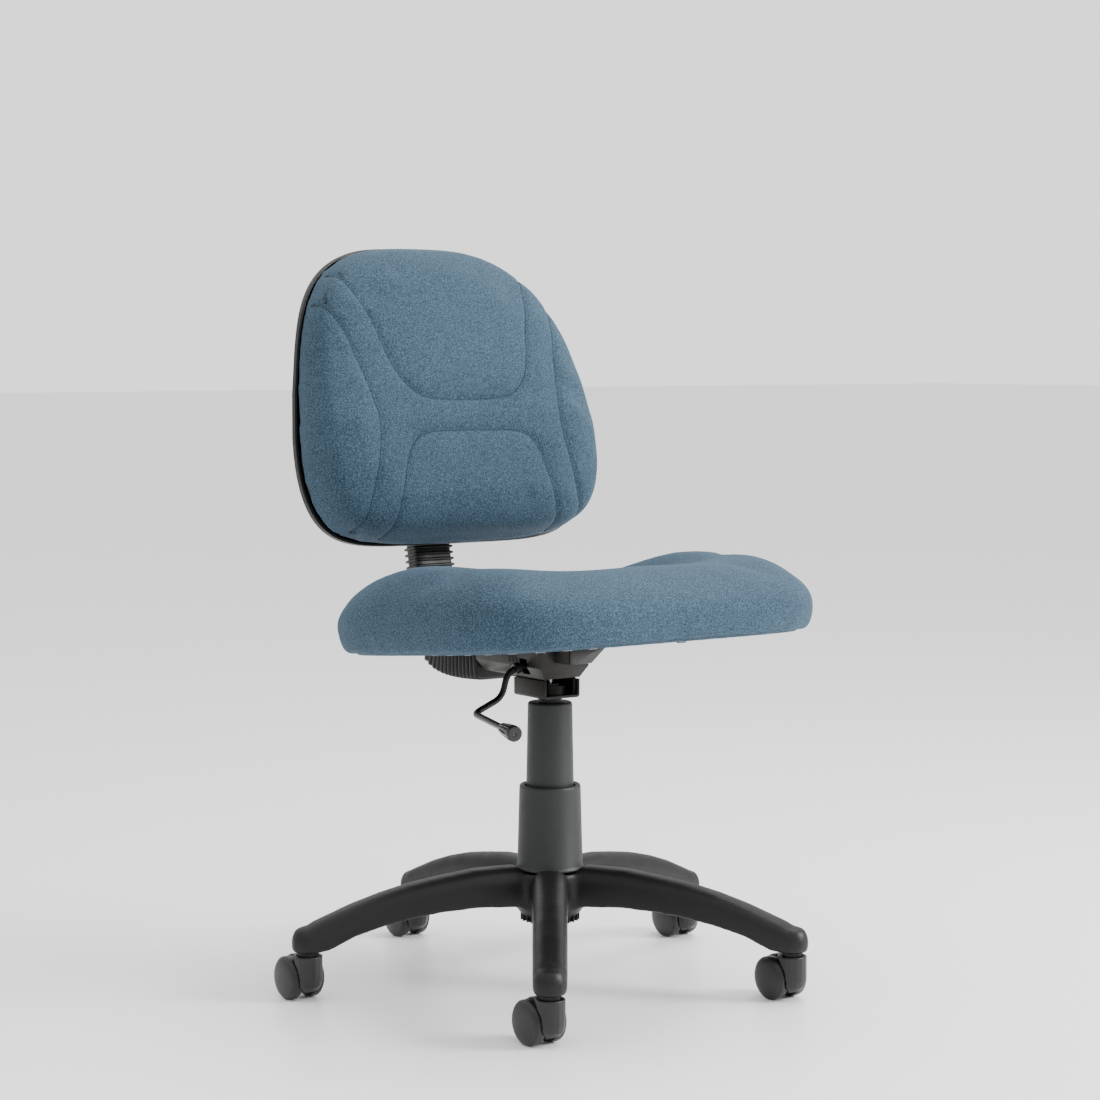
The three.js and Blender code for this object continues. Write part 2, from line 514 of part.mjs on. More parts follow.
function tiltHousing() {
  const { throatHalfX, halfX, bottomZ, shoulderZ, rearY, frontY, wall } = HOUSING;
  const meet = 1; // how far the walls run into the plate
  const sliver = 0.01; // by which stacked solids run into each other
  const throatRear = rearY - 6;
  const inX = halfX - wall;
  const [inFront, inRear] = [frontY + wall, rearY - wall];
  const top = (y) => underseatZ(y) + plateBottom + meet;
  const throat = taperedBlock({ x: throatHalfX, y0: BRACKET.frontY, y1: throatRear, z0: bottomZ },
    { x: halfX, y0: frontY, y1: rearY, z0: shoulderZ });
  const upper = taperedBlock({ x: halfX, y0: frontY, y1: rearY, z0: shoulderZ - sliver },
    { x: halfX, y0: frontY, y1: rearY, z0: top(frontY), z1: top(rearY) });
  const noseRear = frontY + 1;
  const nose = taperedBlock({ x: NOSE.halfX, y0: NOSE.frontY, y1: noseRear, z0: NOSE.bottomZ },
    { x: NOSE.halfX, y0: NOSE.frontY, y1: noseRear, z0: top(NOSE.frontY), z1: top(frontY) });
  const plate = inSeatFrame(
    block(-PLATE.halfX, PLATE.halfX, PLATE.frontY, PLATE.rearY, plateBottom, plateTop));
  const rearPlate = inSeatFrame(block(-halfX, halfX, PLATE.rearY - 5, rearY + 4, plateBottom, plateTop));
  const roomLow = taperedBlock(
    { x: throatHalfX - wall, y0: BRACKET.frontY + wall, y1: BRACKET.rearY + 4, z0: bottomZ - 1 },
    { x: inX, y0: inFront, y1: inRear, z0: shoulderZ });
  const roomHigh = taperedBlock({ x: inX, y0: inFront, y1: inRear, z0: shoulderZ - sliver },
    { x: inX, y0: inFront, y1: inRear, z0: top(frontY) - meet, z1: top(rearY) - meet });
  const rearRoom = taperedBlock(
    { x: throatHalfX - wall, y0: BRACKET.rearY + 1, y1: throatRear - 3, z0: bottomZ + wall },
    { x: inX, y0: BRACKET.rearY + 1, y1: inRear, z0: shoulderZ });
  const slotHalf = J_BAR.halfWidth + BAR_SLOT_PLAY;
  const barSlot = block(-slotHalf, slotHalf, throatRear - 12, rearY + THROUGH, bottomZ - 1, shoulderZ - 1);
  const leverSlot = block(-THROUGH, -LEVER_SLOT.x,
    LEVER_SLOT.y0, LEVER_SLOT.y1, LEVER_SLOT.z0, LEVER_SLOT.z1);
  const pinHole = crossRod(TILT_PIN_R + RUNNING, -THROUGH, THROUGH, TILT_PIVOT.y, TILT_PIVOT.z, 12);
  const boltHoles = boltPlaces.map(([x, y]) =>
    inSeatFrame(rod(SEAT_BOLT.shankR + GAP, -20, 20, 8).translate(x, y, 0)));
  return cut(join(throat, upper, nose, plate, rearPlate), roomLow, roomHigh, rearRoom, barSlot,
    leverSlot, pinHole, clampHole(), ...boltHoles);
}
place("tilt_housing", tiltHousing(), MATERIALS.blackPaint);

function springBox() {
  const { halfX, bottomZ, frontY, thickness, flareX, flareZ } = SPRING_BOX;
  const topZ = underseatZ(frontY) + plateBottom - 1;
  const outline = new THREE.Shape().moveTo(-halfX, topZ).lineTo(-halfX, bottomZ).lineTo(halfX, bottomZ)
    .lineTo(flareX, flareZ).lineTo(flareX, topZ);
  return new THREE.ExtrudeGeometry(outline, { depth: thickness, bevelEnabled: false })
    .rotateX(Math.PI / 2).translate(0, frontY, 0);
}
place("spring_box", springBox(), MATERIALS.blackPlastic);

// ---------------------------------------------------------------- seat
// Outline of the seat, squarer at the front than at the back.
function seatOutline(angle, scale) {
  const squareness = THREE.MathUtils.lerp(4.2, 3.3, (Math.sin(angle) + 1) / 2);
  return [SEAT.halfWidth * scale * signedPower(Math.cos(angle), 2 / squareness),
    SEAT.centreY + (SEAT.depth / 2) * scale * signedPower(Math.sin(angle), 2 / squareness)];
}

// Height of the pad's top above its underside, at fractions of the half width and half depth.
function seatTop(u, v) {
  const bump = (x, at, width) => Math.exp(-(((x - at) / width) ** 2));
  const bolster = 32 * bump(Math.abs(u), 0.72, 0.32) * bump(v, 0.15, 0.55);
  const crown = 14 * bump(v, -0.55, 0.35) * (1 - 0.4 * Math.abs(u));
  return 68 + bolster + crown - 6 * bump(u, 0, 0.35) * bump(v, 0.3, 0.4);
}

// Rings run from the middle of the top, over the edge and in along the underside.
const SEAT_RINGS = [[0.12, 1], [0.35, 1], [0.55, 1], [0.72, 0.985], [0.86, 0.92], [0.95, 0.78], [1, 0.48],
  [0.985, 0.24], [0.955, 0.08], [0.92, 0], [0.5, 0]];

const SEAT_SIDES = 44; // facets round its outline

function seatPad() {
  return loft(SEAT_RINGS.map(([scale, lift]) => Array.from({ length: SEAT_SIDES }, (_, j) => {
    const [x, y] = seatOutline((j * 2 * Math.PI) / SEAT_SIDES, scale);
    const top = seatTop(x / SEAT.halfWidth, (y - SEAT.centreY) / (SEAT.depth / 2));
    return new THREE.Vector3(x, y, lift * top);
  })));
}

const BOARD_SIDES = 28;

function boardGeometry(grow, z0, z1) {
  const loop = (scale, z) => Array.from({ length: BOARD_SIDES }, (_, j) => {
    const [x, y] = seatOutline((j * 2 * Math.PI) / BOARD_SIDES, scale);
    const stretch = 1 + grow / SEAT.halfWidth;
    return new THREE.Vector3(x * stretch, SEAT.centreY + (y - SEAT.centreY) * stretch, z);
  });
  return loft([loop(BOARD_INNER_SCALE, z0), loop(BOARD_SCALE, z0), loop(BOARD_SCALE, z1),
    loop(BOARD_INNER_SCALE, z1)]);
}

const boardTop = BOARD_RECESS + BOARD_THICKNESS;
const boltHole = ([x, y]) => rod(SEAT_BOLT.shankR + GAP, -20, boardTop - 2, 8).translate(x, y, 0);
place("seat_board", cut(boardGeometry(0, BOARD_RECESS, boardTop), ...boltPlaces.map(boltHole)),
  MATERIALS.plywood, seatFrame);
place("seat_cushion", cut(seatPad(), boardGeometry(1, -5, boardTop + GAP)), MATERIALS.fabric, seatFrame);

boltPlaces.forEach(([x, y], i) => {
  const under = plateBottom - GAP;
  const { headR, headHeight, shankR } = SEAT_BOLT;
  place(`seat_bolt_${i + 1}`, turned([[0, under - headHeight], [headR - 2.5, under - headHeight],
    [headR - 2, under - 1.5], [headR, under - 1.2], [headR, under], [shankR, under], [shankR, boardTop - 3],
    [0, boardTop - 3]], 12).translate(x, y, 0), MATERIALS.zinc, seatFrame);
});

// ---------------------------------------------------------------- J-bar and boots
const inBackFrame = (y, z) => {
  const [c, s] = [Math.cos(BACK_LEAN), Math.sin(BACK_LEAN)];
  return new THREE.Vector3(0, BACK_PIVOT.y + y * c + z * s, BACK_PIVOT.z - y * s + z * c);
};
const barPoint = (y, z) => new THREE.Vector3(0, y, z);
const BAR_FRONT = barPoint(46, 373);
const bendFrom = barPoint(110, 367.5);
const uprightFrom = 42; // the upright starts this far below the back's frame
const bendTo = inBackFrame(0, -uprightFrom);
const uprightTop = inBackFrame(0, BAR_TOP);
const barBend = new THREE.CubicBezierCurve3(
  bendFrom, barPoint(BEND_PULL.y, BEND_PULL.z), inBackFrame(1, -122), bendTo);
const barPath = new THREE.CurvePath();
barPath.add(new THREE.LineCurve3(BAR_FRONT, bendFrom));
barPath.add(barBend);
barPath.add(new THREE.LineCurve3(bendTo, uprightTop));

// Loops of a section of half width and half depth, square to a path that lies in the YZ plane.
function sectionLoops(path, stations, sides, squareness = 12) {
  return stations.map(([at, halfWidth, halfDepth]) => {
    const point = path.getPointAt(at);
    const tangent = path.getTangentAt(at);
    const normal = new THREE.Vector3(0, -tangent.z, tangent.y);
    const placeOn = (a, b) =>
      point.clone().add(new THREE.Vector3(a, 0, 0)).add(normal.clone().multiplyScalar(b));
    return roundedLoop(halfWidth, halfDepth, sides, placeOn, squareness);
  });
}

const spread = (count, from, to) =>
  Array.from({ length: count + 1 }, (_, i) => from + ((to - from) * i) / count);

function jBar() {
  const [w, t] = [J_BAR.halfWidth, J_BAR.thickness / 2];
  const loops = spread(26, 0, 1).map((at) => {
    const point = barPath.getPointAt(at);
    const tangent = barPath.getTangentAt(at);
    const normal = new THREE.Vector3(0, -tangent.z, tangent.y);
    return [[-w, -t], [w, -t], [w, t], [-w, t]].map(([a, b]) =>
      point.clone().add(new THREE.Vector3(a, 0, 0)).add(normal.clone().multiplyScalar(b)));
  });
  return cut(loft(loops), clampHole());
}
place("j_bar", jBar(), MATERIALS.blackPaint);

// A ribbed tube along part of a path: out over the ribs, back through the bore.
function boot(path, from, to, extraDepth = 0) {
  const length = path.getLength() * (to - from);
  const ribs = Math.max(2, Math.round(length / BOOT.pitch));
  const stations = spread(ribs * 2, from, to).map((at, i) => {
    const rise = i % 2 ? BOOT.rib : 0;
    return [at, BOOT.halfWidth + rise, BOOT.halfDepth + extraDepth * (1 - i / (2 * ribs)) + rise];
  });
  const bore = spread(8, to, from).map((at) =>
    [at, BOOT.halfWidth - BOOT.wall, BOOT.halfDepth - BOOT.wall]);
  return loft(sectionLoops(path, [...stations, ...bore], 8, 8), true);
}

const barLength = barPath.getLength();
const shareAt = (distance) => distance / barLength;
const flatRun = BAR_FRONT.distanceTo(bendFrom);
const bendRun = barBend.getLength();
const bendEnd = flatRun + bendRun;
const bootStart = HOUSING.rearY - BAR_FRONT.y + 8; // just behind the housing
const bootSplit = bendEnd - 12;
place("seat_boot",
  boot(barPath, shareAt(bootStart), shareAt(bootSplit - 4 * GAP), SEAT_BOOT_EXTRA), MATERIALS.rubber);
const bootEnd = bendEnd + uprightFrom + BOOT_TOP;
place("back_boot", boot(barPath, shareAt(bootSplit), shareAt(bootEnd)), MATERIALS.rubber);

function clampBolt() {
  const { y, bottomZ, topZ, headR, headHeight, shankR } = CLAMP_BOLT;
  return turned([[0, bottomZ], [shankR, bottomZ], [shankR, topZ - headHeight], [headR, topZ - headHeight],
    [headR, topZ], [0, topZ]], 10).translate(0, y, 0);
}
place("clamp_bolt", clampBolt(), MATERIALS.zinc);
const nutBottomZ = CLAMP_BOLT.bottomZ + 0.5;
place("clamp_nut", cut(rod(CLAMP_BOLT.nutR, nutBottomZ, HOUSING.bottomZ - RUNNING, 6),
  rod(CLAMP_BOLT.shankR + GAP, nutBottomZ - 5, HOUSING.bottomZ + 5, 10))
  .translate(0, CLAMP_BOLT.y, 0), MATERIALS.brass);

// ---------------------------------------------------------------- back
const backMiddle = (BACK.top + BACK.bottom) / 2;
const backHalf = (BACK.top - BACK.bottom) / 2;
const BACK_SIDES = 36; // facets round its outline

// Outline of the back in its own frame: wide and square below, narrower and rounder above.
function backOutline(angle, scale) {
  const up = Math.sin(angle);
  const squareness = THREE.MathUtils.lerp(5.6, 3.6, (up + 1) / 2);
  const z = signedPower(up, 2 / squareness);
  const x = signedPower(Math.cos(angle), 2 / squareness) * (1 - 0.155 * z - 0.147 * z * z);
  return [BACK.halfWidth * scale * x, backMiddle + backHalf * scale * z];
}

// The upper half sweeps backwards.
const sweepAt = (z) => BACK.sweep * Math.max(0, (z - backMiddle) / backHalf) ** 2;

const backRing = (angles, scale, depthAt) => Array.from({ length: angles }, (_, j) => {
  const [x, z] = backOutline((j * 2 * Math.PI) / angles, scale);
  return new THREE.Vector3(x, depthAt(z) + sweepAt(z), z);
});

const lumbarAt = (z) => BACK.lumbar * Math.exp(-(((z - 125) / 55) ** 2));

// Rings shared by the touching faces of the cushion and its board, from the rim inwards.
const BOARD_RINGS = [0.955, 0.65, 0.35, 0.1];
const boardFace = (depth) => BOARD_RINGS.map((scale) => backRing(BACK_SIDES, scale, () => depth));

function backPad() {
  const face = BACK.rimY - BACK_BOARD_THICKNESS;
  // Each ring: share of the outline, share of the crown. The face is dished towards its middle.
  const front = [[0.1, 0.9], [0.4, 0.92], [0.62, 0.96], [0.78, 1], [0.86, 0.99], [0.93, 0.89], [0.975, 0.72],
    [1, 0.42], [0.99, 0.12]];
  const loops = front.map(([scale, share]) => backRing(BACK_SIDES, scale, (z) =>
    face - share * BACK.crown - lumbarAt(z) * (1 - scale * scale)));
  return loft([...loops, backRing(BACK_SIDES, 0.975, () => face), ...boardFace(face)]);
}
place("back_cushion", backPad(), MATERIALS.fabric, backFrame);

place("back_board", loft([...boardFace(BACK.rimY - GAP).reverse(),
  ...boardFace(BACK.rimY - BACK_BOARD_THICKNESS + GAP)]), MATERIALS.plywood, backFrame);

// The moulded shell behind its rim: share of the outline, share of its depth.
const SHELL_PROFILE = [
  [1, 0], [0.975, 0.1], [0.93, 0.26], [0.86, 0.46], [0.77, 0.66], [0.66, 0.82], [0.5, 0.94], [0.3, 1]];

function shellRings(inset) {
  const shrink = 1 - inset / BACK.halfWidth;
  return SHELL_PROFILE.map(([scale, share]) =>
    backRing(BACK_SIDES, scale * shrink, () => BACK.rimY + share * (BACK.shellDepth - inset)));
}

function backShell() {
  const rimFront = BACK.rimY - SHELL_RIM;
  const outer = loft([...shellRings(0).reverse(), backRing(BACK_SIDES, 1, () => rimFront),
    backRing(BACK_SIDES, 0.5, () => rimFront)]);
  const inner = loft([...shellRings(SHELL_WALL).reverse(),
    backRing(BACK_SIDES, 1 - SHELL_WALL / BACK.halfWidth, () => rimFront - 5),
    backRing(BACK_SIDES, 0.5, () => rimFront - 5)]);
  const side = BOOT.halfWidth + 5;
  const mouth = block(-side, side, -BOOT.halfDepth - 5, BOOT.halfDepth + 12, -THROUGH, BOOT_TOP + 3);
  return cut(outer, inner, mouth);
}
place("back_shell", backShell(), MATERIALS.shellPlastic, backFrame);

function backCarriage() {
  const { bottom, top, wall } = CARRIAGE;
  const outX = J_BAR.halfWidth + wall;
  const outY = J_BAR.thickness / 2 + wall;
  const sleeve = block(-outX, outX, -outY, outY, bottom, top);
  const webs = [-1, 1].map((side) =>
    sideBlock(side, outX - 3, outX + 18, BACK.rimY + GAP, -outY + 3, bottom + 6, top - 15));
  const channel = block(-J_BAR.halfWidth - RUNNING, J_BAR.halfWidth + RUNNING,
    -J_BAR.thickness / 2 - RUNNING, J_BAR.thickness / 2 + RUNNING, bottom - 5, top + 5);
  return cut(join(sleeve, ...webs), channel);
}
place("back_carriage", backCarriage(), MATERIALS.blackPaint, backFrame);

// Pan-head screws through the shell into the carriage's webs.
const SHELL_SCREW = { x: 80, z: 185, headR: 4, headHeight: 2.5 };
const shellShare = heightAt([...SHELL_PROFILE].reverse(), SHELL_SCREW.x / BACK.halfWidth);
const screwSeat = BACK.rimY + BACK.shellDepth * shellShare;
for (const [side, name] of [[-1, "shell_screw_right"], [1, "shell_screw_left"]])
  place(name, rod(SHELL_SCREW.headR, 0, SHELL_SCREW.headHeight, 12).rotateX(-Math.PI / 2)
    .translate(side * SHELL_SCREW.x, screwSeat + 2 * GAP, SHELL_SCREW.z), MATERIALS.zinc, backFrame);

// ---------------------------------------------------------------- footprint centred on the origin
const whole = new THREE.Group().add(chair);
const reach = new THREE.Box3().setFromObject(whole, true);
chair.position.y = -(reach.min.y + reach.max.y) / 2;

export default whole;
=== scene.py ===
"""Looks of an armless swivel task chair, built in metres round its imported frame.

The upholstery is blown up by cloth simulation, stitched and given a crepe weave. The moulded and
pressed pieces are redrawn with soft edges, and every carried-over piece gets its own finish.
"""

import logging
import math
from dataclasses import dataclass, field
from enum import Enum
from typing import Any, Callable, Sequence

import bmesh
import bpy
import numpy as np
from mathutils import Matrix, Vector, noise
from mathutils.bvhtree import BVHTree


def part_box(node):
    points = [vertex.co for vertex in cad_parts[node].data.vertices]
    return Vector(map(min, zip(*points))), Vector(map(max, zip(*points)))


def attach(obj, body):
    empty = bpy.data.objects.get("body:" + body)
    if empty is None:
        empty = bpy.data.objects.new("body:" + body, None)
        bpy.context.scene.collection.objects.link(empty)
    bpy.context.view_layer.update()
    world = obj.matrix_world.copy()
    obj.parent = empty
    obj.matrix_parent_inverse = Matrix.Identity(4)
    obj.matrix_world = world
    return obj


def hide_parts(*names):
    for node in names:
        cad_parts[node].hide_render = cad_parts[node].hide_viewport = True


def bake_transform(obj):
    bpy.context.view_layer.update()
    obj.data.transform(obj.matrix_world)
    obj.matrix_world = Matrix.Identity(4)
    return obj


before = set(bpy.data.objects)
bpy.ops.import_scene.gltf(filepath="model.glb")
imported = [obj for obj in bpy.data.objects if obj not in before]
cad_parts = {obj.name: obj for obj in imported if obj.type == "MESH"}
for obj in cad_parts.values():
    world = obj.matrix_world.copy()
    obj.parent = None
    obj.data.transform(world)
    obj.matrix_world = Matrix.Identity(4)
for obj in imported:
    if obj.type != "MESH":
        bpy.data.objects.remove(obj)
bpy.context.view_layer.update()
LOG = logging.getLogger("task_chair")

ARM_COUNT = 5
RING_POINTS = 120  # round a cushion's outline
SEAT_UNDERSIDE = 0.4025  # height over the floor, on the column axis
SEAT_LEAN = math.radians(5.5)
UPRIGHT_SETBACK = 0.2575  # behind the column axis
UPRIGHT_FOOT = 0.495
UPRIGHT_LEAN = math.radians(11.5)
Rgb = tuple[float, float, float]
Extent = tuple[float, float, float]
Loop = list[Vector]


# ------------------------------------------------------------------ node graphs
class Socket:
    """An output socket that takes part in Python arithmetic by adding Math nodes."""

    def __init__(self, graph: "Graph", output: bpy.types.NodeSocket) -> None:
        """Wraps one output socket of a graph."""
        self.graph = graph
        self.output = output

    def _math(self, operation: str, *values: Any) -> "Socket":
        """Adds a Math node over the given values, in order.

        Args:
            operation: the Math node's operation.
            values: its inputs, each a number or a Socket.

        Returns:
            The node's value.
        """
        return self.graph.node("ShaderNodeMath", {"operation": operation}, dict(enumerate(values)))

    def __add__(self, other: Any) -> "Socket":
        """self + other."""
        return self._math("ADD", self, other)

    def __radd__(self, other: Any) -> "Socket":
        """other + self."""
        return self._math("ADD", other, self)

    def __sub__(self, other: Any) -> "Socket":
        """self - other."""
        return self._math("SUBTRACT", self, other)

    def __rsub__(self, other: Any) -> "Socket":
        """other - self."""
        return self._math("SUBTRACT", other, self)

    def __mul__(self, other: Any) -> "Socket":
        """self * other."""
        return self._math("MULTIPLY", self, other)

    def __rmul__(self, other: Any) -> "Socket":
        """other * self."""
        return self._math("MULTIPLY", other, self)

    def __pow__(self, other: Any) -> "Socket":
        """self ** other."""
        return self._math("POWER", self, other)


class Graph:
    """A shader or geometry node tree, filled by one method."""

    def __init__(self, tree: bpy.types.NodeTree) -> None:
        """Takes the tree that the nodes go into."""
        self.tree = tree

    def node(self, kind: str, settings: dict[str, Any] | None = None,
             inputs: dict[Any, Any] | None = None, output: Any = 0) -> Socket:
        """Adds one node, sets it up and joins it to others.

        Args:
            kind: the node's Blender type.
            settings: properties set before the inputs; "stops" fills a colour ramp.
            inputs: socket name or index to a number, colour or Socket.
            output: name or index of the output wanted.

        Returns:
            The chosen output.
        """
        made = self.tree.nodes.new(kind)
        for key, value in (settings or {}).items():
            if key == "stops":
                self._fill_ramp(made.color_ramp, value)
            else:
                setattr(made, key, value)
        for key, value in (inputs or {}).items():
            if isinstance(value, Socket):
                self.tree.links.new(value.output, made.inputs[key])
            else:
                made.inputs[key].default_value = value
        outputs = [o for o in made.outputs if o.enabled] if isinstance(output, int) else made.outputs
        return Socket(self, outputs[output]) if outputs else Socket(self, None)

    @staticmethod
    def _fill_ramp(ramp: bpy.types.ColorRamp, stops: Sequence[tuple[float, Sequence[float]]]) -> None:
        """Sets a colour ramp's stops, which may be more than its first two.

        Args:
            ramp: the ramp, changed in place.
            stops: position and colour of each stop, in order.
        """
        while len(ramp.elements) < len(stops):
            ramp.elements.new(0.5)
        for element, (position, colour) in zip(ramp.elements, stops):
            element.position = position
            element.color = (*colour, 1.0)

    def mix(self, factor: Any, first: Any, second: Any, blend: str = "MIX") -> Socket:
        """Mixes two colours.

        Args:
            factor: share of the second colour, a number or a Socket.
            first: a colour or a Socket.
            second: a colour or a Socket.
            blend: the Mix node's blend type.

        Returns:
            The mixed colour.
        """
        made = self.tree.nodes.new("ShaderNodeMix")
        made.data_type = "RGBA"
        made.blend_type = blend
        for index, value in ((0, factor), (6, first), (7, second)):
            if isinstance(value, Socket):
                self.tree.links.new(value.output, made.inputs[index])
            else:
                made.inputs[index].default_value = value if index == 0 else (*value, 1.0)
        return Socket(self, made.outputs[2])


# ------------------------------------------------------------------ finishes
@dataclass(frozen=True)
class Finish:
    """What every finish of the chair shares.

    Attributes:
        name: the material's name.
        slot: the record's material slot, not used.
        colour: its main colour, linear.
        roughness: its mean roughness.
    """
    name: str
    slot: str
    colour: Rgb
    roughness: float

    def material(self) -> bpy.types.Material:
        """Makes the finish's material the first time it is asked for.

        Returns:
            The material.
        """
        found = bpy.data.materials.get(self.name)
        if found:
            return found
        made = bpy.data.materials.new(self.name)
        made.use_nodes = True
        made.node_tree.nodes.clear()
        graph = Graph(made.node_tree)
        shader = self.shade(graph)
        graph.node("ShaderNodeOutputMaterial", None, {"Surface": shader})
        made.diffuse_color = (*self.colour, 1.0)
        return made

    def shade(self, graph: Graph) -> Socket:
        """Builds the finish's shader in the graph.

        Args:
            graph: the material's graph.

        Returns:
            The shader.
        """
        raise NotImplementedError

    @staticmethod
    def noise(graph: Graph, scale: float, detail: float = 3.0) -> Socket:
        """Adds fractal noise on the piece's own coordinates.

        Args:
            graph: the material's graph.
            scale: cells a metre.
            detail: finer layers of noise over it.

        Returns:
            The noise, 0 to 1.
        """
        place = graph.node("ShaderNodeTexCoord", output="Object")
        return graph.node("ShaderNodeTexNoise", None,
                          {"Vector": place, "Scale": scale, "Detail": detail}, output="Fac")

    @staticmethod
    def bump(graph: Graph, height: Socket, depth: float, strength: float = 1.0) -> Socket:
        """Adds a bump.

        Args:
            graph: the material's graph.
            height: the height, 0 to about 1.
            depth: what a height of 1 stands for, in metres.
            strength: share of the bump that is used.

        Returns:
            The bent normal.
        """
        return graph.node("ShaderNodeBump", None,
                          {"Height": height, "Distance": depth, "Strength": strength}, output="Normal")


@dataclass(frozen=True)
class CrepeWeave(Finish):
    """A heathered crepe cloth of light and dark yarns.

    Attributes:
        light: colour of the light yarn.
        dark: colour of the dark yarn.
        yarns: yarn cells a metre.
        flecks: cells a metre of the mixed fibres in the yarn.
        patches: cells a metre of the wear.
        relief: height of the yarns, in metres.
    """
    light: Rgb = (0.076, 0.131, 0.186)
    dark: Rgb = (0.009, 0.025, 0.041)
    yarns: float = 1050.0
    flecks: float = 420.0
    patches: float = 9.0
    relief: float = 0.0005

    def shade(self, graph: Graph) -> Socket:
        """Builds short crossed yarns, with painted shade darkening the hollows between them.

        Args:
            graph: the material's graph.

        Returns:
            The shader.
        """
        place = graph.node("ShaderNodeTexCoord", output="Object")
        turned = graph.node("ShaderNodeMapping", None, {"Vector": place, "Rotation": (0.4, 0.5, 0.7),
                                                        "Scale": (1.0, 1.0, 1.7)})
        cells = graph.node("ShaderNodeTexVoronoi", {"feature": "F1"},
                           {"Vector": turned, "Scale": self.yarns, "Randomness": 0.85}, output="Distance")
        fleck = self.noise(graph, self.yarns * 0.55, 2.0)
        heather = self.noise(graph, self.flecks, 2.0)
        worn = self.noise(graph, self.patches, 3.0)
        flecked = graph.node("ShaderNodeValToRGB", {"stops": [(0.40, self.dark), (0.5, self.colour),
                                                              (0.61, self.light)]}, {"Fac": fleck})
        # painted shade: the hollows between the yarn cells are mixed towards the dark yarn colour
        valley_shade = graph.node("ShaderNodeMapRange", None, {"Value": cells, "From Min": 0.25, "From Max": 0.8,
                                                         "To Min": 0.0, "To Max": 0.75})
        yarns_with_valley_shade = graph.mix(valley_shade, flecked, self.dark)
        ramp = {"stops": [(0.3, self.dark), (0.7, self.light)]}
        toned = graph.mix(0.16, yarns_with_valley_shade, graph.node("ShaderNodeValToRGB", ramp, {"Fac": heather}))
        shaded = graph.mix(0.10, toned, graph.node("ShaderNodeValToRGB", ramp, {"Fac": worn}))
        height = (1.0 - cells) + fleck * 0.6
        return graph.node("ShaderNodeBsdfPrincipled", None, {
            "Base Color": shaded, "Roughness": self.roughness + (heather - 0.5) * 0.1,
            "Sheen Weight": 0.12, "Sheen Roughness": 0.4, "Sheen Tint": (0.40, 0.62, 0.85, 1.0),
            "Specular IOR Level": 0.25, "Normal": self.bump(graph, height, self.relief, 0.8)})


@dataclass(frozen=True)
class MouldedGrain(Finish):
    """Moulded plastic or rubber with a fine pebble grain.

    Attributes:
        grain: grain cells a metre.
        depth: height of the grain, in metres.
        bloom: share of a paler tone in the worn patches.
        specular: specular level.
    """
    grain: float = 900.0
    depth: float = 0.00015
    bloom: float = 0.25
    specular: float = 0.5

    def shade(self, graph: Graph) -> Socket:
        """Builds a pebbled surface with faint handling marks.

        Args:
            graph: the material's graph.

        Returns:
            The shader.
        """
        pebble = self.noise(graph, self.grain, 2.0)
        cloud = self.noise(graph, 14.0, 4.0)
        rub = self.noise(graph, 60.0, 5.0)
        paler = tuple(min(1.0, c * 1.9 + 0.004) for c in self.colour)
        patch = graph.node("ShaderNodeMapRange", None, {"Value": cloud, "From Min": 0.4, "From Max": 0.75,
                                                        "To Min": 0.0, "To Max": self.bloom})
        colour = graph.mix(patch, self.colour, paler)
        rough = self.roughness + (rub - 0.5) * 0.16 + (cloud - 0.5) * 0.1
        return graph.node("ShaderNodeBsdfPrincipled", None, {
            "Base Color": colour, "Roughness": rough, "Specular IOR Level": self.specular,
            "Normal": self.bump(graph, pebble + rub * 0.3, self.depth)})


@dataclass(frozen=True)
class PowderCoat(Finish):
    """Powder-coated sheet steel, with a slight orange peel.

    Attributes:
        edge: colour where the coat has thinned.
        coat: weight of the clear top layer.
        relief: height of the orange peel, in metres.
    """
    edge: Rgb = (0.022, 0.020, 0.017)
    coat: float = 0.03
    relief: float = 0.00012

    def shade(self, graph: Graph) -> Socket:
        """Builds a dimpled coat that has thinned on the edges.

        Args:
            graph: the material's graph.

        Returns:
            The shader.
        """
        peel = self.noise(graph, 420.0, 2.0)
        scuff = self.noise(graph, 45.0, 6.0)
        pointed = graph.node("ShaderNodeNewGeometry", output="Pointiness")
        edge = graph.node("ShaderNodeMapRange", None, {"Value": pointed + scuff * 0.05, "From Min": 0.545,
                                                       "From Max": 0.6, "To Min": 0.0, "To Max": 0.5})
        return graph.node("ShaderNodeBsdfPrincipled", None, {
            "Base Color": graph.mix(edge, self.colour, self.edge),
            "Roughness": self.roughness + (scuff - 0.5) * 0.22, "Specular IOR Level": 0.16,
            "Coat Weight": self.coat, "Coat Roughness": 0.3,
            "Normal": self.bump(graph, peel + scuff * 0.2, self.relief)})


@dataclass(frozen=True)
class PlatedSteel(Finish):
    """Zinc, chrome or brass, drawn along Z with fine lines.

    Attributes:
        lines: drawing lines a metre.
        relief: height of the lines, in metres.
    """
    lines: float = 1500.0
    relief: float = 0.00004

    def shade(self, graph: Graph) -> Socket:
        """Builds a plated surface with drawing marks and a dull bloom.

        Args:
            graph: the material's graph.

        Returns:
            The shader.
        """
        place = graph.node("ShaderNodeTexCoord", output="Object")
        drawn = graph.node("ShaderNodeMapping", None, {"Vector": place, "Scale": (1.0, 1.0, 0.04)})
        line = graph.node("ShaderNodeTexNoise", None, {"Vector": drawn, "Scale": self.lines, "Detail": 2.0},
                          output="Fac")
        dull = self.noise(graph, 160.0, 4.0)
        darker = tuple(c * 0.6 for c in self.colour)
        return graph.node("ShaderNodeBsdfPrincipled", None, {
            "Base Color": graph.mix(dull * 0.5, self.colour, darker), "Metallic": 1.0,
            "Roughness": self.roughness + (dull - 0.5) * 0.25, "Normal": self.bump(graph, line, self.relief)})


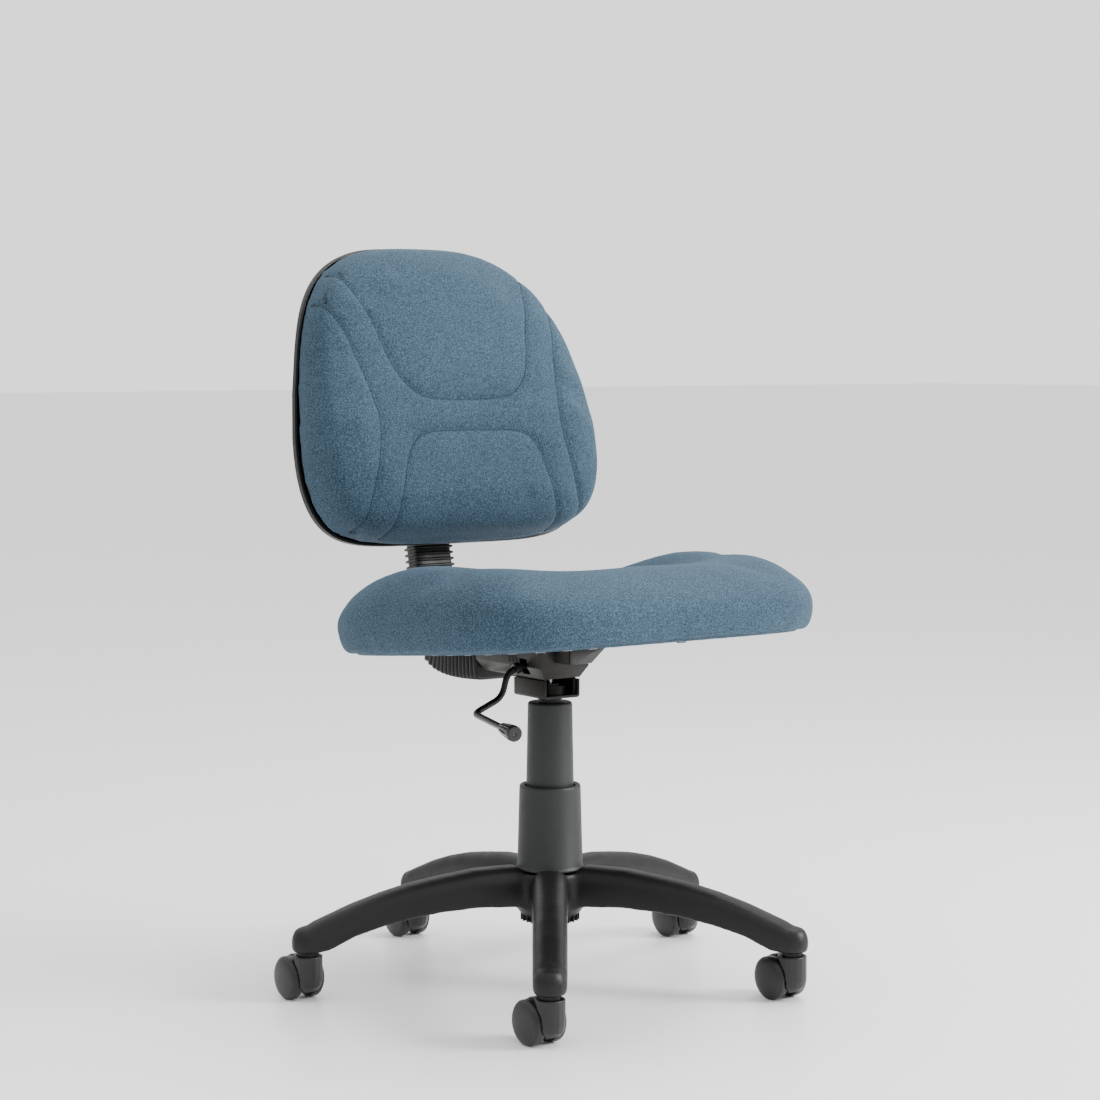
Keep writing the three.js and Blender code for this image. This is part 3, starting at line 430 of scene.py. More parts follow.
@dataclass(frozen=True)
class PressedPly(Finish):
    """Dark-stained pressed ply with a lengthwise figure.

    Attributes:
        vein: colour of the dark veins.
        relief: height of the figure, in metres.
    """
    vein: Rgb = (0.03, 0.022, 0.016)
    relief: float = 0.0002

    def shade(self, graph: Graph) -> Socket:
        """Builds a stretched figure under a dull stain.

        Args:
            graph: the material's graph.

        Returns:
            The shader.
        """
        place = graph.node("ShaderNodeTexCoord", output="Object")
        stretched = graph.node("ShaderNodeMapping", None, {"Vector": place, "Scale": (9.0, 1.0, 1.0)})
        figure = graph.node("ShaderNodeTexNoise", None, {"Vector": stretched, "Scale": 22.0, "Detail": 6.0,
                                                         "Distortion": 0.6}, output="Fac")
        fibre = self.noise(graph, 500.0, 3.0)
        return graph.node("ShaderNodeBsdfPrincipled", None, {
            "Base Color": graph.mix(figure, self.vein, self.colour),
            "Roughness": self.roughness + (fibre - 0.5) * 0.15,
            "Normal": self.bump(graph, figure + fibre * 0.4, self.relief)})


@dataclass(frozen=True)
class StudioSweep(Finish):
    """The pale floor, faintly polished."""

    def shade(self, graph: Graph) -> Socket:
        """Builds a plain pale surface with a soft reflection.

        Args:
            graph: the material's graph.

        Returns:
            The shader.
        """
        cloud = self.noise(graph, 1.5, 2.0)
        return graph.node("ShaderNodeBsdfPrincipled", None, {
            "Base Color": graph.mix(cloud * 0.04, self.colour, (0.90, 0.91, 0.92)),
            "Roughness": self.roughness + (cloud - 0.5) * 0.05, "Specular IOR Level": 0.35})


class Finishes(Enum):
    """Every finish on the chair and round it."""
    CLOTH = CrepeWeave("crepe_cloth", "fabric", (0.033, 0.066, 0.100), 0.82)
    THREAD = MouldedGrain("stitch_thread", "fabric", (0.004, 0.009, 0.014), 0.85, grain=2500.0, depth=0.00008)
    NYLON = MouldedGrain("base_nylon", "nylon", (0.0055, 0.0054, 0.0058), 0.46, grain=650.0,
                         depth=0.0002, bloom=0.12, specular=0.26)
    COVER = MouldedGrain("column_cover", "cover_plastic", (0.0115, 0.0130, 0.0130), 0.5, grain=1100.0,
                         depth=0.00009, bloom=0.1, specular=0.4)
    SHELL = MouldedGrain("back_shell_plastic", "shell_plastic", (0.0065, 0.0066, 0.0068), 0.5, grain=420.0,
                         depth=0.00035, bloom=0.12, specular=0.4)
    WHEEL = MouldedGrain("castor_plastic", "wheel_plastic", (0.0052, 0.0050, 0.0056), 0.4, grain=1300.0,
                         depth=0.00005, bloom=0.12, specular=0.42)
    KNOB = MouldedGrain("lever_plastic", "black_plastic", (0.004, 0.004, 0.0042), 0.34, grain=1500.0,
                        depth=0.00005, bloom=0.12)
    RUBBER = MouldedGrain("boot_rubber", "rubber", (0.0045, 0.0045, 0.0045), 0.48, grain=800.0,
                          depth=0.0001, bloom=0.2)
    PAINT = PowderCoat("black_powder_coat", "black_paint", (0.0060, 0.0056, 0.0048), 0.4)
    TUBE = PowderCoat("satin_black_tube", "tube_steel", (0.0050, 0.0046, 0.0043), 0.36, coat=0.25)
    ZINC = PlatedSteel("zinc_plate", "zinc", (0.52, 0.53, 0.54), 0.36)
    # painted shade: plated steel darkened to stand for the shaded gap where the castor stems meet the base;
    # the seat bolts share it
    SHADED_STEEL = PlatedSteel("steel_painted_shade", "zinc", (0.035, 0.035, 0.036), 0.5)
    CHROME = PlatedSteel("chrome_plate", "chrome", (0.75, 0.75, 0.77), 0.14)
    BRASS = PlatedSteel("bright_brass", "brass", (0.5, 0.32, 0.11), 0.34)
    PLY = PressedPly("stained_ply", "plywood", (0.075, 0.055, 0.04), 0.62)
    FLOOR = StudioSweep("studio_floor", "", (0.95, 0.95, 0.95), 0.3)


# ------------------------------------------------------------------ mesh work
def signed_power(value: float, power: float) -> float:
    """Returns value raised to a power with its sign kept."""
    return math.copysign(abs(value) ** power, value)


def bump_at(x: float, centre: float, width: float) -> float:
    """Returns a smooth bump of height 1 at the centre."""
    return math.exp(-(((x - centre) / width) ** 2))


def smooth_rows(rows: Sequence[Sequence[float]], steps: int) -> list[tuple[float, ...]]:
    """Draws a Catmull-Rom curve through rows of numbers.

    Args:
        rows: the rows it passes through.
        steps: new rows for each span.

    Returns:
        The dense rows, ends included.
    """
    table = np.array(rows, float)
    padded = np.vstack([2 * table[0] - table[1], table, 2 * table[-1] - table[-2]])
    dense = []
    for i in range(len(table) - 1):
        a, b, c, d = padded[i:i + 4]
        for t in np.arange(steps) / steps:
            dense.append(0.5 * (2 * b + (c - a) * t + (2 * a - 5 * b + 4 * c - d) * t * t
                                + (3 * b - a - 3 * c + d) * t ** 3))
    dense.append(table[-1])
    return [tuple(float(v) for v in row) for row in dense]


@dataclass(frozen=True)
class LeaningFrame:
    """A frame turned about X, in which a sub-assembly is drawn.

    Attributes:
        origin: its origin in the chair's frame.
        lean: how far its Z leans back, in radians.
    """
    origin: Vector
    lean: float

    def matrix(self) -> Matrix:
        """Returns the change from this frame to the chair's."""
        return Matrix.Translation(self.origin) @ Matrix.Rotation(-self.lean, 4, "X")

    def out(self, x: float, y: float, z: float) -> Vector:
        """Returns a point of this frame in the chair's."""
        return self.matrix() @ Vector((x, y, z))

    def into(self, point: Vector) -> Vector:
        """Returns a point of the chair's frame in this one."""
        return self.matrix().inverted() @ point


class Workshop:
    """Makes meshes and hands finished pieces to the frame."""

    @staticmethod
    def piece(name: str, points: Sequence[Vector], faces: Sequence[Sequence[int]]) -> bpy.types.Object:
        """Makes an object from points and faces, with its normals outwards.

        Args:
            name: the object's name.
            points: its vertices, in the chair's frame.
            faces: its faces.

        Returns:
            The linked object.
        """
        mesh = bpy.data.meshes.new(name)
        mesh.from_pydata([tuple(p) for p in points], [], [tuple(f) for f in faces])
        made = bpy.data.objects.new(name, mesh)
        bpy.context.scene.collection.objects.link(made)
        Workshop.tidy(made)
        return made

    @staticmethod
    def tidy(target: bpy.types.Object, merge: float = 1e-6) -> None:
        """Merges doubles and turns a closed mesh's faces outwards.

        Args:
            target: the object, changed in place.
            merge: points closer than this become one.
        """
        work = bmesh.new()
        work.from_mesh(target.data)
        bmesh.ops.remove_doubles(work, verts=work.verts, dist=merge)
        bmesh.ops.recalc_face_normals(work, faces=work.faces)
        work.to_mesh(target.data)
        work.free()

    @staticmethod
    def loft(name: str, loops: Sequence[Loop], closed: bool = False) -> bpy.types.Object:
        """Skins equal-length loops, with a fan over each open end.

        Args:
            name: the object's name.
            loops: the loops, in order.
            closed: whether the last loop meets the first.

        Returns:
            The linked object.
        """
        count = len(loops[0])
        points = [p for loop in loops for p in loop]
        faces: list[tuple[int, ...]] = []
        spans = len(loops) if closed else len(loops) - 1
        for i in range(spans):
            a, b = i * count, ((i + 1) % len(loops)) * count
            faces += [(a + j, a + (j + 1) % count, b + (j + 1) % count, b + j) for j in range(count)]
        if not closed:
            for start in (0, (len(loops) - 1) * count):
                points.append(sum(points[start:start + count], Vector()) / count)
                faces += [(len(points) - 1, start + j, start + (j + 1) % count) for j in range(count)]
        return Workshop.piece(name, points, faces)

    @staticmethod
    def turned(name: str, profile: Sequence[tuple[float, float]], place: Matrix, segments: int = 72
               ) -> bpy.types.Object:
        """Spins a closed profile of (radius, height) about its own Z.

        Args:
            name: the object's name.
            profile: the outline's points; it closes on itself.
            place: where its frame stands in the chair's.
            segments: facets round it.

        Returns:
            The linked object.
        """
        points, faces, rows = [], [], len(profile)
        for s in range(segments):
            angle = 2 * math.pi * s / segments
            points += [place @ Vector((r * math.cos(angle), r * math.sin(angle), h)) for r, h in profile]
        for s in range(segments):
            here, there = s * rows, ((s + 1) % segments) * rows
            for i in range(rows):
                j = (i + 1) % rows
                if profile[i][0] or profile[j][0]:
                    faces.append((here + i, there + i, there + j, here + j))
        return Workshop.piece(name, points, faces)

    @staticmethod
    def apply(target: bpy.types.Object) -> bpy.types.Object:
        """Bakes an object's modifiers into its mesh and removes them.

        Args:
            target: a mesh object, or a curve, which a mesh object of its name replaces.

        Returns:
            The mesh object.
        """
        evaluated = bpy.context.evaluated_depsgraph_get()
        baked = bpy.data.meshes.new_from_object(target.evaluated_get(evaluated), depsgraph=evaluated)
        target.modifiers.clear()
        if target.type == "MESH":
            target.data = baked
            return target
        made = bpy.data.objects.new(target.name + "_mesh", baked)
        bpy.context.scene.collection.objects.link(made)
        name = target.name
        bpy.data.objects.remove(target)
        made.name = name
        return made

    @staticmethod
    def copy_of(node: str, name: str) -> bpy.types.Object:
        """Copies a CAD node's mesh and merges its loose triangles.

        Args:
            node: the CAD node.
            name: the new object's name.

        Returns:
            The linked object.
        """
        made = bpy.data.objects.new(name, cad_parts[node].data.copy())
        bpy.context.scene.collection.objects.link(made)
        made.data.materials.clear()
        Workshop.tidy(made, 2e-5)
        return made

    @staticmethod
    def softened(node: str, name: str, voxel: float, rounds: int) -> bpy.types.Object:
        """Redraws a CAD node as a moulding with rounded edges and filleted corners.

        Args:
            node: the CAD node.
            name: the new piece's name.
            voxel: remesh size, in metres.
            rounds: smoothing passes.

        Returns:
            The linked object.
        """
        made = Workshop.copy_of(node, name)
        remesh = made.modifiers.new("remesh", "REMESH")
        remesh.mode = "VOXEL"
        remesh.voxel_size = voxel
        smooth = made.modifiers.new("smooth", "SMOOTH")
        smooth.factor = 0.5
        smooth.iterations = rounds
        return Workshop.apply(made)

    @staticmethod
    def edged(node: str, name: str, width: float, angle: float = 28.0) -> bpy.types.Object:
        """Redraws a CAD node with its sharp edges rounded over.

        Args:
            node: the CAD node.
            name: the new piece's name.
            width: width of the rounding, in metres.
            angle: edges sharper than this many degrees are rounded.

        Returns:
            The linked object.
        """
        made = Workshop.copy_of(node, name)
        work = bmesh.new()
        work.from_mesh(made.data)
        bmesh.ops.dissolve_limit(work, angle_limit=math.radians(1.0), verts=work.verts, edges=work.edges)
        work.to_mesh(made.data)
        work.free()
        bevel = made.modifiers.new("bevel", "BEVEL")
        bevel.width = width
        bevel.segments = 2
        bevel.limit_method = "ANGLE"
        bevel.angle_limit = math.radians(angle)
        bevel.use_clamp_overlap = True
        return Workshop.apply(made)

    @staticmethod
    def finish(piece: bpy.types.Object, body: str, finish: Finishes, *stands_for: str,
               crease: float = 35.0) -> bpy.types.Object:
        """Dresses a finished piece and hands it to the frame.

        Args:
            piece: the piece, in place.
            body: the body it rides on.
            finish: its finish.
            stands_for: CAD nodes it replaces.
            crease: edges sharper than this many degrees stay sharp.

        Returns:
            The piece.
        """
        piece.data.materials.clear()
        piece.data.materials.append(finish.value.material())
        piece.data.shade_smooth()
        piece.data.set_sharp_from_angle(angle=math.radians(crease))
        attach(piece, body)
        if stands_for:
            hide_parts(*stands_for)
        LOG.info("%s: %d faces on %s", piece.name, len(piece.data.polygons), body)
        return piece

    @staticmethod
    def dress_node(node: str, finish: Finishes) -> None:
        """Gives a carried-over CAD node its finish.

        Args:
            node: the CAD node.
            finish: its finish.
        """
        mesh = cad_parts[node].data
        mesh.materials.clear()
        mesh.materials.append(finish.value.material())


class RowTree(Enum):
    """Geometry Nodes trees that set small pieces out along a curve."""
    STITCH = "stitch_row"
    STAPLE = "staple_row"
    RIB = "rib_row"

    def build(self) -> bpy.types.NodeTree:
        """Makes the tree the first time, with Pitch, Size and Finish as its inputs.

        Returns:
            The tree.
        """
        found = bpy.data.node_groups.get(self.value)
        if found:
            return found
        tree = bpy.data.node_groups.new(self.value, "GeometryNodeTree")
        for name, kind in (("Geometry", "NodeSocketGeometry"), ("Pitch", "NodeSocketFloat"),
                           ("Size", "NodeSocketVector"), ("Finish", "NodeSocketMaterial")):
            tree.interface.new_socket(name, in_out="INPUT", socket_type=kind)
        tree.interface.new_socket("Geometry", in_out="OUTPUT", socket_type="NodeSocketGeometry")
        graph = Graph(tree)
        given = tree.nodes.new("NodeGroupInput")
        curve, pitch, size, finish = (Socket(graph, given.outputs[i]) for i in range(4))
        spaced = graph.node("GeometryNodeResampleCurve", {"mode": "LENGTH"},
                            {"Curve": curve, "Length": pitch})
        along = graph.node("GeometryNodeInputTangent")
        turn = graph.node("FunctionNodeAlignRotationToVector", {"axis": "X"}, {"Vector": along})
        shape = {RowTree.STITCH: ("GeometryNodeMeshIcoSphere", {"Radius": 1.0, "Subdivisions": 1}),
                 RowTree.STAPLE: ("GeometryNodeMeshCube", {"Size": (1.0, 1.0, 1.0)}),
                 RowTree.RIB: ("GeometryNodeMeshCube", {"Size": (1.0, 1.0, 1.0)})}[self]
        unit = graph.node(shape[0], None, shape[1], output="Mesh")
        sized = graph.node("GeometryNodeTransform", None, {"Geometry": unit, "Scale": size})
        placed = graph.node("GeometryNodeInstanceOnPoints", None,
                            {"Points": spaced, "Instance": sized, "Rotation": turn})
        real = graph.node("GeometryNodeRealizeInstances", None, {"Geometry": placed})
        dressed = graph.node("GeometryNodeSetMaterial", None, {"Geometry": real, "Material": finish})
        leaving = tree.nodes.new("NodeGroupOutput")
        tree.links.new(dressed.output, leaving.inputs[0])
        return tree

    def along(self, name: str, lines: Sequence[Sequence[Vector]], pitch: float, size: Extent,
              finish: Finishes, cyclic: bool = False) -> bpy.types.Object:
        """Sets pieces out along lines and returns them as one plain mesh.

        Args:
            name: the object's name.
            lines: the lines to follow.
            pitch: distance from piece to piece.
            size: length along the line, width and height of a piece.
            finish: its finish.
            cyclic: whether each line closes.

        Returns:
            The linked mesh object.
        """
        curve = bpy.data.curves.new(name + "_route", "CURVE")
        curve.dimensions = "3D"
        for line in lines:
            spline = curve.splines.new("POLY")
            spline.points.add(len(line) - 1)
            for point, at in zip(spline.points, line):
                point.co = (*at, 1.0)
            spline.use_cyclic_u = cyclic
        route = bpy.data.objects.new(name, curve)
        bpy.context.scene.collection.objects.link(route)
        modifier = route.modifiers.new("row", "NODES")
        modifier.node_group = self.build()
        values = {"Pitch": pitch, "Size": size, "Finish": finish.value.material()}
        for item in modifier.node_group.interface.items_tree:
            if item.in_out == "INPUT" and item.name in values:
                modifier[item.identifier] = values[item.name]
        bpy.context.view_layer.update()
        return Workshop.apply(route)


# ------------------------------------------------------------------ upholstery
@dataclass
class Cushion:
    """What both cushions share: inflation by cloth simulation.

    Attributes:
        voxel: remesh size before the cloth is blown up.
        pressure: air pressure in the cloth.
        cap: the most that a point may move.
        frames: simulated frames.
        stiffness: how hard the cloth resists stretching and bunching.
        relax: smoothing passes once it has been blown up.
    """
    voxel: float = 0.006
    pressure: float = 4.0
    cap: float = 0.004
    frames: int = 20
    stiffness: float = 20.0
    relax: int = 8

    def puff(self, pad: bpy.types.Object, held: Callable[[Vector], bool]) -> None:
        """Blows the pad up as cloth, with its capped result applied.

        Args:
            pad: the pad, changed in place.
            held: says which points stay where they are.
        """
        remesh = pad.modifiers.new("remesh", "REMESH")
        remesh.mode = "VOXEL"
        remesh.voxel_size = self.voxel
        Workshop.apply(pad)
        self._simulate(pad, held)
        smooth = pad.modifiers.new("relax", "SMOOTH")
        smooth.factor = 0.5
        smooth.iterations = self.relax
        fine = pad.modifiers.new("fine", "SUBSURF")
        fine.levels = fine.render_levels = 1
        Workshop.apply(pad)

    def _simulate(self, pad: bpy.types.Object, held: Callable[[Vector], bool]) -> None:
        """Runs the cloth and keeps each point within the cap.

        Args:
            pad: the pad, changed in place.
            held: says which points stay where they are.
        """
        start = [v.co.copy() for v in pad.data.vertices]
        pinned = pad.vertex_groups.new(name="held")
        pinned.add([v.index for v in pad.data.vertices if held(v.co)], 1.0, "REPLACE")
        cloth = pad.modifiers.new("cloth", "CLOTH")
        cloth.settings.use_pressure = True
        cloth.settings.uniform_pressure_force = self.pressure
        cloth.settings.effector_weights.gravity = 0.0
        cloth.settings.vertex_group_mass = "held"
        cloth.settings.quality = 4
        cloth.settings.tension_stiffness = cloth.settings.compression_stiffness = self.stiffness
        cloth.collision_settings.use_collision = False
        cloth.point_cache.frame_end = self.frames
        for step in range(1, self.frames + 1):
            bpy.context.scene.frame_set(step)
        Workshop.apply(pad)
        bpy.context.scene.frame_set(1)
        for vertex, origin in zip(pad.data.vertices, start):
            move = vertex.co - origin
            if move.length > self.cap:
                vertex.co = origin + move * (self.cap / move.length)
        pad.vertex_groups.clear()


def crease_lines(pad: bpy.types.Object, lines: Sequence[Sequence[Vector]], depth: float,
                 reach: float) -> None:
    """Presses stitched lines into a pad, fading towards the lines' ends.

    Args:
        pad: the pad, changed in place.
        lines: the seam lines, on or near its surface.
        depth: how deep the middle of a seam goes.
        reach: distance at which the seam has died out.
    """
    fade_share, least = 0.16, 0.3  # share of a line that fades, and the depth left at its ends
    co = np.empty(len(pad.data.vertices) * 3)
    pad.data.vertices.foreach_get("co", co)
    co = co.reshape(-1, 3)
    normals = np.array([v.normal for v in pad.data.vertices])
    sink = np.zeros(len(co))
    for line in lines:
        for i, at in enumerate(line):
            from_end = min(i, len(line) - 1 - i) / (len(line) * fade_share)
            weight = least + (1 - least) * min(1.0, from_end)
            near = np.sqrt(((co - np.array(at)) ** 2).sum(1))
            groove = np.exp(-(near / reach) * 2.2) + 0.35 * np.exp(-((near / (reach * 2.6)) ** 2))
            sink = np.maximum(sink, depth * weight * groove)
    pad.data.vertices.foreach_set("co", (co - normals * sink[:, None]).ravel())
    pad.data.update()


def onto_surface(pad: bpy.types.Object, points: Sequence[Vector], along: Vector, depth: float,
                 lift: float) -> Loop:
    """Drops points onto a pad; those beyond its outline land on its edge.

    Args:
        pad: the pad.
        points: the points to drop.
        along: the direction they travel.
        depth: how far a point beyond the outline travels before it turns to the edge.
        lift: how far they stand off the surface in the end.

    Returns:
        The points on the pad.
    """
    tree = BVHTree.FromPolygons([v.co for v in pad.data.vertices], [p.vertices for p in pad.data.polygons])
    met = []
    for point in points:
        hit, normal, _, _ = tree.ray_cast(point, along)
        if not hit:
            hit, normal, _, _ = tree.find_nearest(point + along * depth)
        met.append(hit + normal * lift)
    return met


@dataclass
class Seat(Cushion):
    """The contoured seat cushion, with its hem and staples on the board under it.

    Attributes:
        place: the frame of the cushion's underside.
        half_width: half its width.
        half_depth: half its depth.
        centre_y: its middle, from the column axis.
    """
    place: LeaningFrame = field(default_factory=lambda: LeaningFrame(Vector(), 0.0))
    half_width: float = 0.2485
    half_depth: float = 0.2235
    centre_y: float = -0.047

    # Share of the outline, share of the height, from the middle of the top over the edge and under.
    RINGS = ((0.1, 1.0), (0.35, 1.0), (0.55, 1.0), (0.72, 0.985), (0.85, 0.92), (0.94, 0.79), (0.985, 0.62),
             (1.0, 0.46), (0.99, 0.26), (0.97, 0.1), (0.95, 0.02), (0.91, 0.0))
    # Share of the outline and height.
    POCKET = ((0.908, 0.0135), (0.5, 0.0135))
    HEM = ((0.945, 0.012), (0.926, 0.004), (0.905, 0.0006), (0.845, 0.0007),
           (0.845, 0.0018), (0.905, 0.0022), (0.926, 0.006), (0.945, 0.014))
    STAPLE_LINE = (0.875, 0.0004)
    THICKNESS = 0.0675
    # What the cloth is tacked to: up to this height, or within this share of the outline up to the other.
    UNDERSIDE_HELD = 0.006
    POCKET_SHARE = 0.93
    POCKET_HELD = 0.02
    POCKET_SQUARENESS = 3.6

    def outline(self, angle: float, scale: float) -> tuple[float, float]:
        """Draws the outline, squarer at the front than at the back.

        Args:
            angle: the angle round the middle.
            scale: share of the full outline.

        Returns:
            The point's x and y.
        """
        squareness = 3.75 - 0.45 * math.sin(angle)
        return (self.half_width * scale * signed_power(math.cos(angle), 2 / squareness),
                self.centre_y + self.half_depth * scale * signed_power(math.sin(angle), 2 / squareness))

    def height(self, u: float, v: float) -> float:
        """Shapes the top: side bolsters, a crowned front edge and a bucket.

        Args:
            u: share of the half width.
            v: share of the half depth.

        Returns:
            The height over the underside.
        """
        bolster = 0.033 * bump_at(abs(u), 0.77, 0.28) * bump_at(v, 0.08, 0.6)
        crown = 0.015 * bump_at(v, -0.58, 0.27) * (1 - 0.4 * abs(u))
        bucket = 0.027 * bump_at(u, 0.0, 0.48) * bump_at(v, 0.28, 0.45)
        return self.THICKNESS + bolster + crown - bucket

    def build(self) -> None:
        """Makes the cushion and its trim."""
        pad = Workshop.loft("seat_upholstery", [
            *(self._ring(scale, lift) for scale, lift in smooth_rows(self.RINGS, 5)),
            *(self._level_ring(scale, z) for scale, z in self.POCKET)])
        self.puff(pad, self._held)
        self._pucker(pad)
        Workshop.finish(pad, "seat", Finishes.CLOTH, "seat_cushion", crease=180.0)
        self._staples()

    def _held(self, point: Vector) -> bool:
        """Says whether a point is on the underside or in the board's pocket.

        Args:
            point: the point, in the chair's frame.

        Returns:
            Whether it is held.
        """
        local = self.place.into(point)
        power = self.POCKET_SQUARENESS
        across = abs(local.x / self.half_width)
        along = abs((local.y - self.centre_y) / self.half_depth)
        in_pocket = across ** power + along ** power < self.POCKET_SHARE ** power
        return local.z < self.UNDERSIDE_HELD or (in_pocket and local.z < self.POCKET_HELD)

    def _level_ring(self, scale: float, z: float) -> Loop:
        """Returns a level ring of the outline."""
        angles = (2 * math.pi * j / RING_POINTS for j in range(RING_POINTS))
        return [self.place.out(*self.outline(angle, scale), z) for angle in angles]

    def _ring(self, scale: float, lift: float) -> Loop:
        """Draws one ring of the pad.

        Args:
            scale: share of the outline.
            lift: share of the top's height.

        Returns:
            The ring.
        """
        loop = []
        for j in range(RING_POINTS):
            angle = 2 * math.pi * j / RING_POINTS
            x, y = self.outline(angle, scale)
            top = self.height(x / self.half_width, (y - self.centre_y) / self.half_depth)
            loop.append(self.place.out(x, y, lift * top))
        return loop

    def _pucker(self, pad: bpy.types.Object) -> None:
        """Gathers the cloth a little where it is pulled under the edge.

        Args:
            pad: the pad, changed in place.
        """
        gather, unevenness = 0.0013, 0.0008
        normals = [v.normal.copy() for v in pad.data.vertices]
        for vertex, normal in zip(pad.data.vertices, normals):
            local = self.place.into(vertex.co)
            low = bump_at(local.z, 0.008, 0.016)
            angle = math.atan2(local.y - self.centre_y, local.x)
            fold = noise.noise(Vector((math.cos(angle) * 9.0, math.sin(angle) * 9.0, local.z * 12.0)))
            ease = noise.noise(Vector((local.x * 7.0, local.y * 7.0, 3.0)))
            vertex.co += normal * (gather * low * fold + unevenness * ease)

    def _staples(self) -> None:
        """Turns the cloth's hem in under the board and staples it down."""
        hem = Workshop.loft("seat_hem", [self._level_ring(scale, z) for scale, z in self.HEM], closed=True)
        Workshop.finish(hem, "seat", Finishes.CLOTH)
        line = self._level_ring(*self.STAPLE_LINE)
        row = RowTree.STAPLE.along("seat_staples", [line], 0.03, (0.010, 0.0011, 0.0007), Finishes.ZINC,
                                   cyclic=True)
        Workshop.finish(row, "seat", Finishes.ZINC)


@dataclass
class Back(Cushion):
    """The low back: stitched cushion and moulded shell.

    Attributes:
        place: the frame of the upright.
        half_width: half its width at the widest.
        bottom: lower end, along the upright.
        top: upper end, along the upright.
        rim_y: face of the shell's rim.
        board: thickness of the board in the rim.
        crown: thickness of the cushion.
        shell_depth: depth of the shell behind the rim.
        sweep: how far the top sweeps backwards.
    """
    place: LeaningFrame = field(default_factory=lambda: LeaningFrame(Vector(), 0.0))
    half_width: float = 0.2
    bottom: float = 0.003
    top: float = 0.3785
    rim_y: float = -0.049
    board: float = 0.008
    crown: float = 0.0715
    shell_depth: float = 0.078
    sweep: float = 0.036

    # Share of the outline and of the crown, from the middle of the face to the rim.
    FACE = ((0.08, 0.9), (0.4, 0.92), (0.62, 0.96), (0.78, 0.995), (0.86, 0.98), (0.93, 0.89), (0.972, 0.73),
            (0.995, 0.5), (1.0, 0.3), (0.99, 0.1), (0.975, 0.0), (0.6, 0.0))
    SHELL = ((1.0, 0.0), (0.975, 0.1), (0.93, 0.26), (0.86, 0.46), (0.77, 0.66), (0.66, 0.82), (0.5, 0.94),
             (0.3, 1.0), (0.08, 1.02))
    EDGE_DEPTH = 0.095  # from in front of the face to the middle of the edge
    # Half of each seam, as distance from the middle and height up the upright.
    UPPER_SEAM = ((0.0, 0.169), (0.050, 0.171), (0.074, 0.180), (0.091, 0.198), (0.101, 0.222),
                  (0.109, 0.255), (0.118, 0.285), (0.126, 0.312), (0.138, 0.340), (0.152, 0.366))
    LOWER_SEAM = ((0.0, 0.131), (0.052, 0.130), (0.076, 0.125), (0.090, 0.112), (0.099, 0.092),
                  (0.108, 0.062), (0.115, 0.035), (0.121, 0.012), (0.125, -0.006))
    SIDE_SEAM = ((0.176, 0.325), (0.163, 0.290), (0.151, 0.250), (0.139, 0.195), (0.133, 0.158),
                 (0.133, 0.130), (0.139, 0.095), (0.148, 0.060), (0.158, 0.024), (0.165, -0.002))
    SEAM_STEPS = 14  # points drawn for each span of a seam
    SQUARE_BELOW = 5.6
    SQUARE_ABOVE = 3.6
    TAPER = (0.155, 0.147)  # narrowing towards the top, with the height and with its square

    @property
    def middle(self) -> float:
        """Middle height, along the upright."""
        return (self.top + self.bottom) / 2

    @property
    def half_height(self) -> float:
        """Half the height, along the upright."""
        return (self.top - self.bottom) / 2

    def outline(self, angle: float, scale: float) -> tuple[float, float]:
        """Draws the outline, wide and square below, narrow and round above.

        Args:
            angle: the angle round the middle.
            scale: share of the full outline.

        Returns:
            The point's x and its height up the upright.
        """
        up = math.sin(angle)
        squareness = self.SQUARE_BELOW + (self.SQUARE_ABOVE - self.SQUARE_BELOW) * (up + 1) / 2
        z = signed_power(up, 2 / squareness)
        x = signed_power(math.cos(angle), 2 / squareness) * (1 - self.TAPER[0] * z - self.TAPER[1] * z * z)
        return self.half_width * scale * x, self.middle + self.half_height * scale * z

    def swept(self, z: float) -> float:
        """Returns how far the back has swept rearwards at a height."""
        share = max(0.0, (z - self.middle) / self.half_height)
        return self.sweep * share * share

    def ring(self, scale: float, depth: Callable[[float, float], float]) -> Loop:
        """Draws one ring of the outline at a depth that may vary over it.

        Args:
            scale: share of the outline.
            depth: gives the depth at an x and a height.

        Returns:
            The ring.
        """
        loop = []
        for j in range(RING_POINTS):
            x, z = self.outline(2 * math.pi * j / RING_POINTS, scale)
            loop.append(self.place.out(x, depth(x, z) + self.swept(z), z))
        return loop

    def face_depth(self, share: float, scale: float) -> Callable[[float, float], float]:
        """Shapes the cushion over a ring: thinner above, with a lumbar swell.

        Args:
            share: share of the cushion's thickness.
            scale: share of the outline.

        Returns:
            A function that gives the depth at an x and a height.
        """
        def depth(x: float, z: float) -> float:
            """Works out the depth at one point.

            Args:
                x: distance from the middle.
                z: height up the upright.

            Returns:
                The depth.
            """
            rise = max(0.0, (z - self.middle) / self.half_height)
            thick = self.crown * (1 - 0.30 * rise ** 1.5)
            lumbar = 0.005 * bump_at(z, 0.125, 0.055) * (1 - scale * scale)
            rounded = 0.009 * (x / 0.1) ** 2 * min(1.0, max(0.0, (z - 0.15) / 0.08)) * (1 - scale ** 6)
            return self.rim_y - self.board - share * thick - lumbar + rounded
        return depth

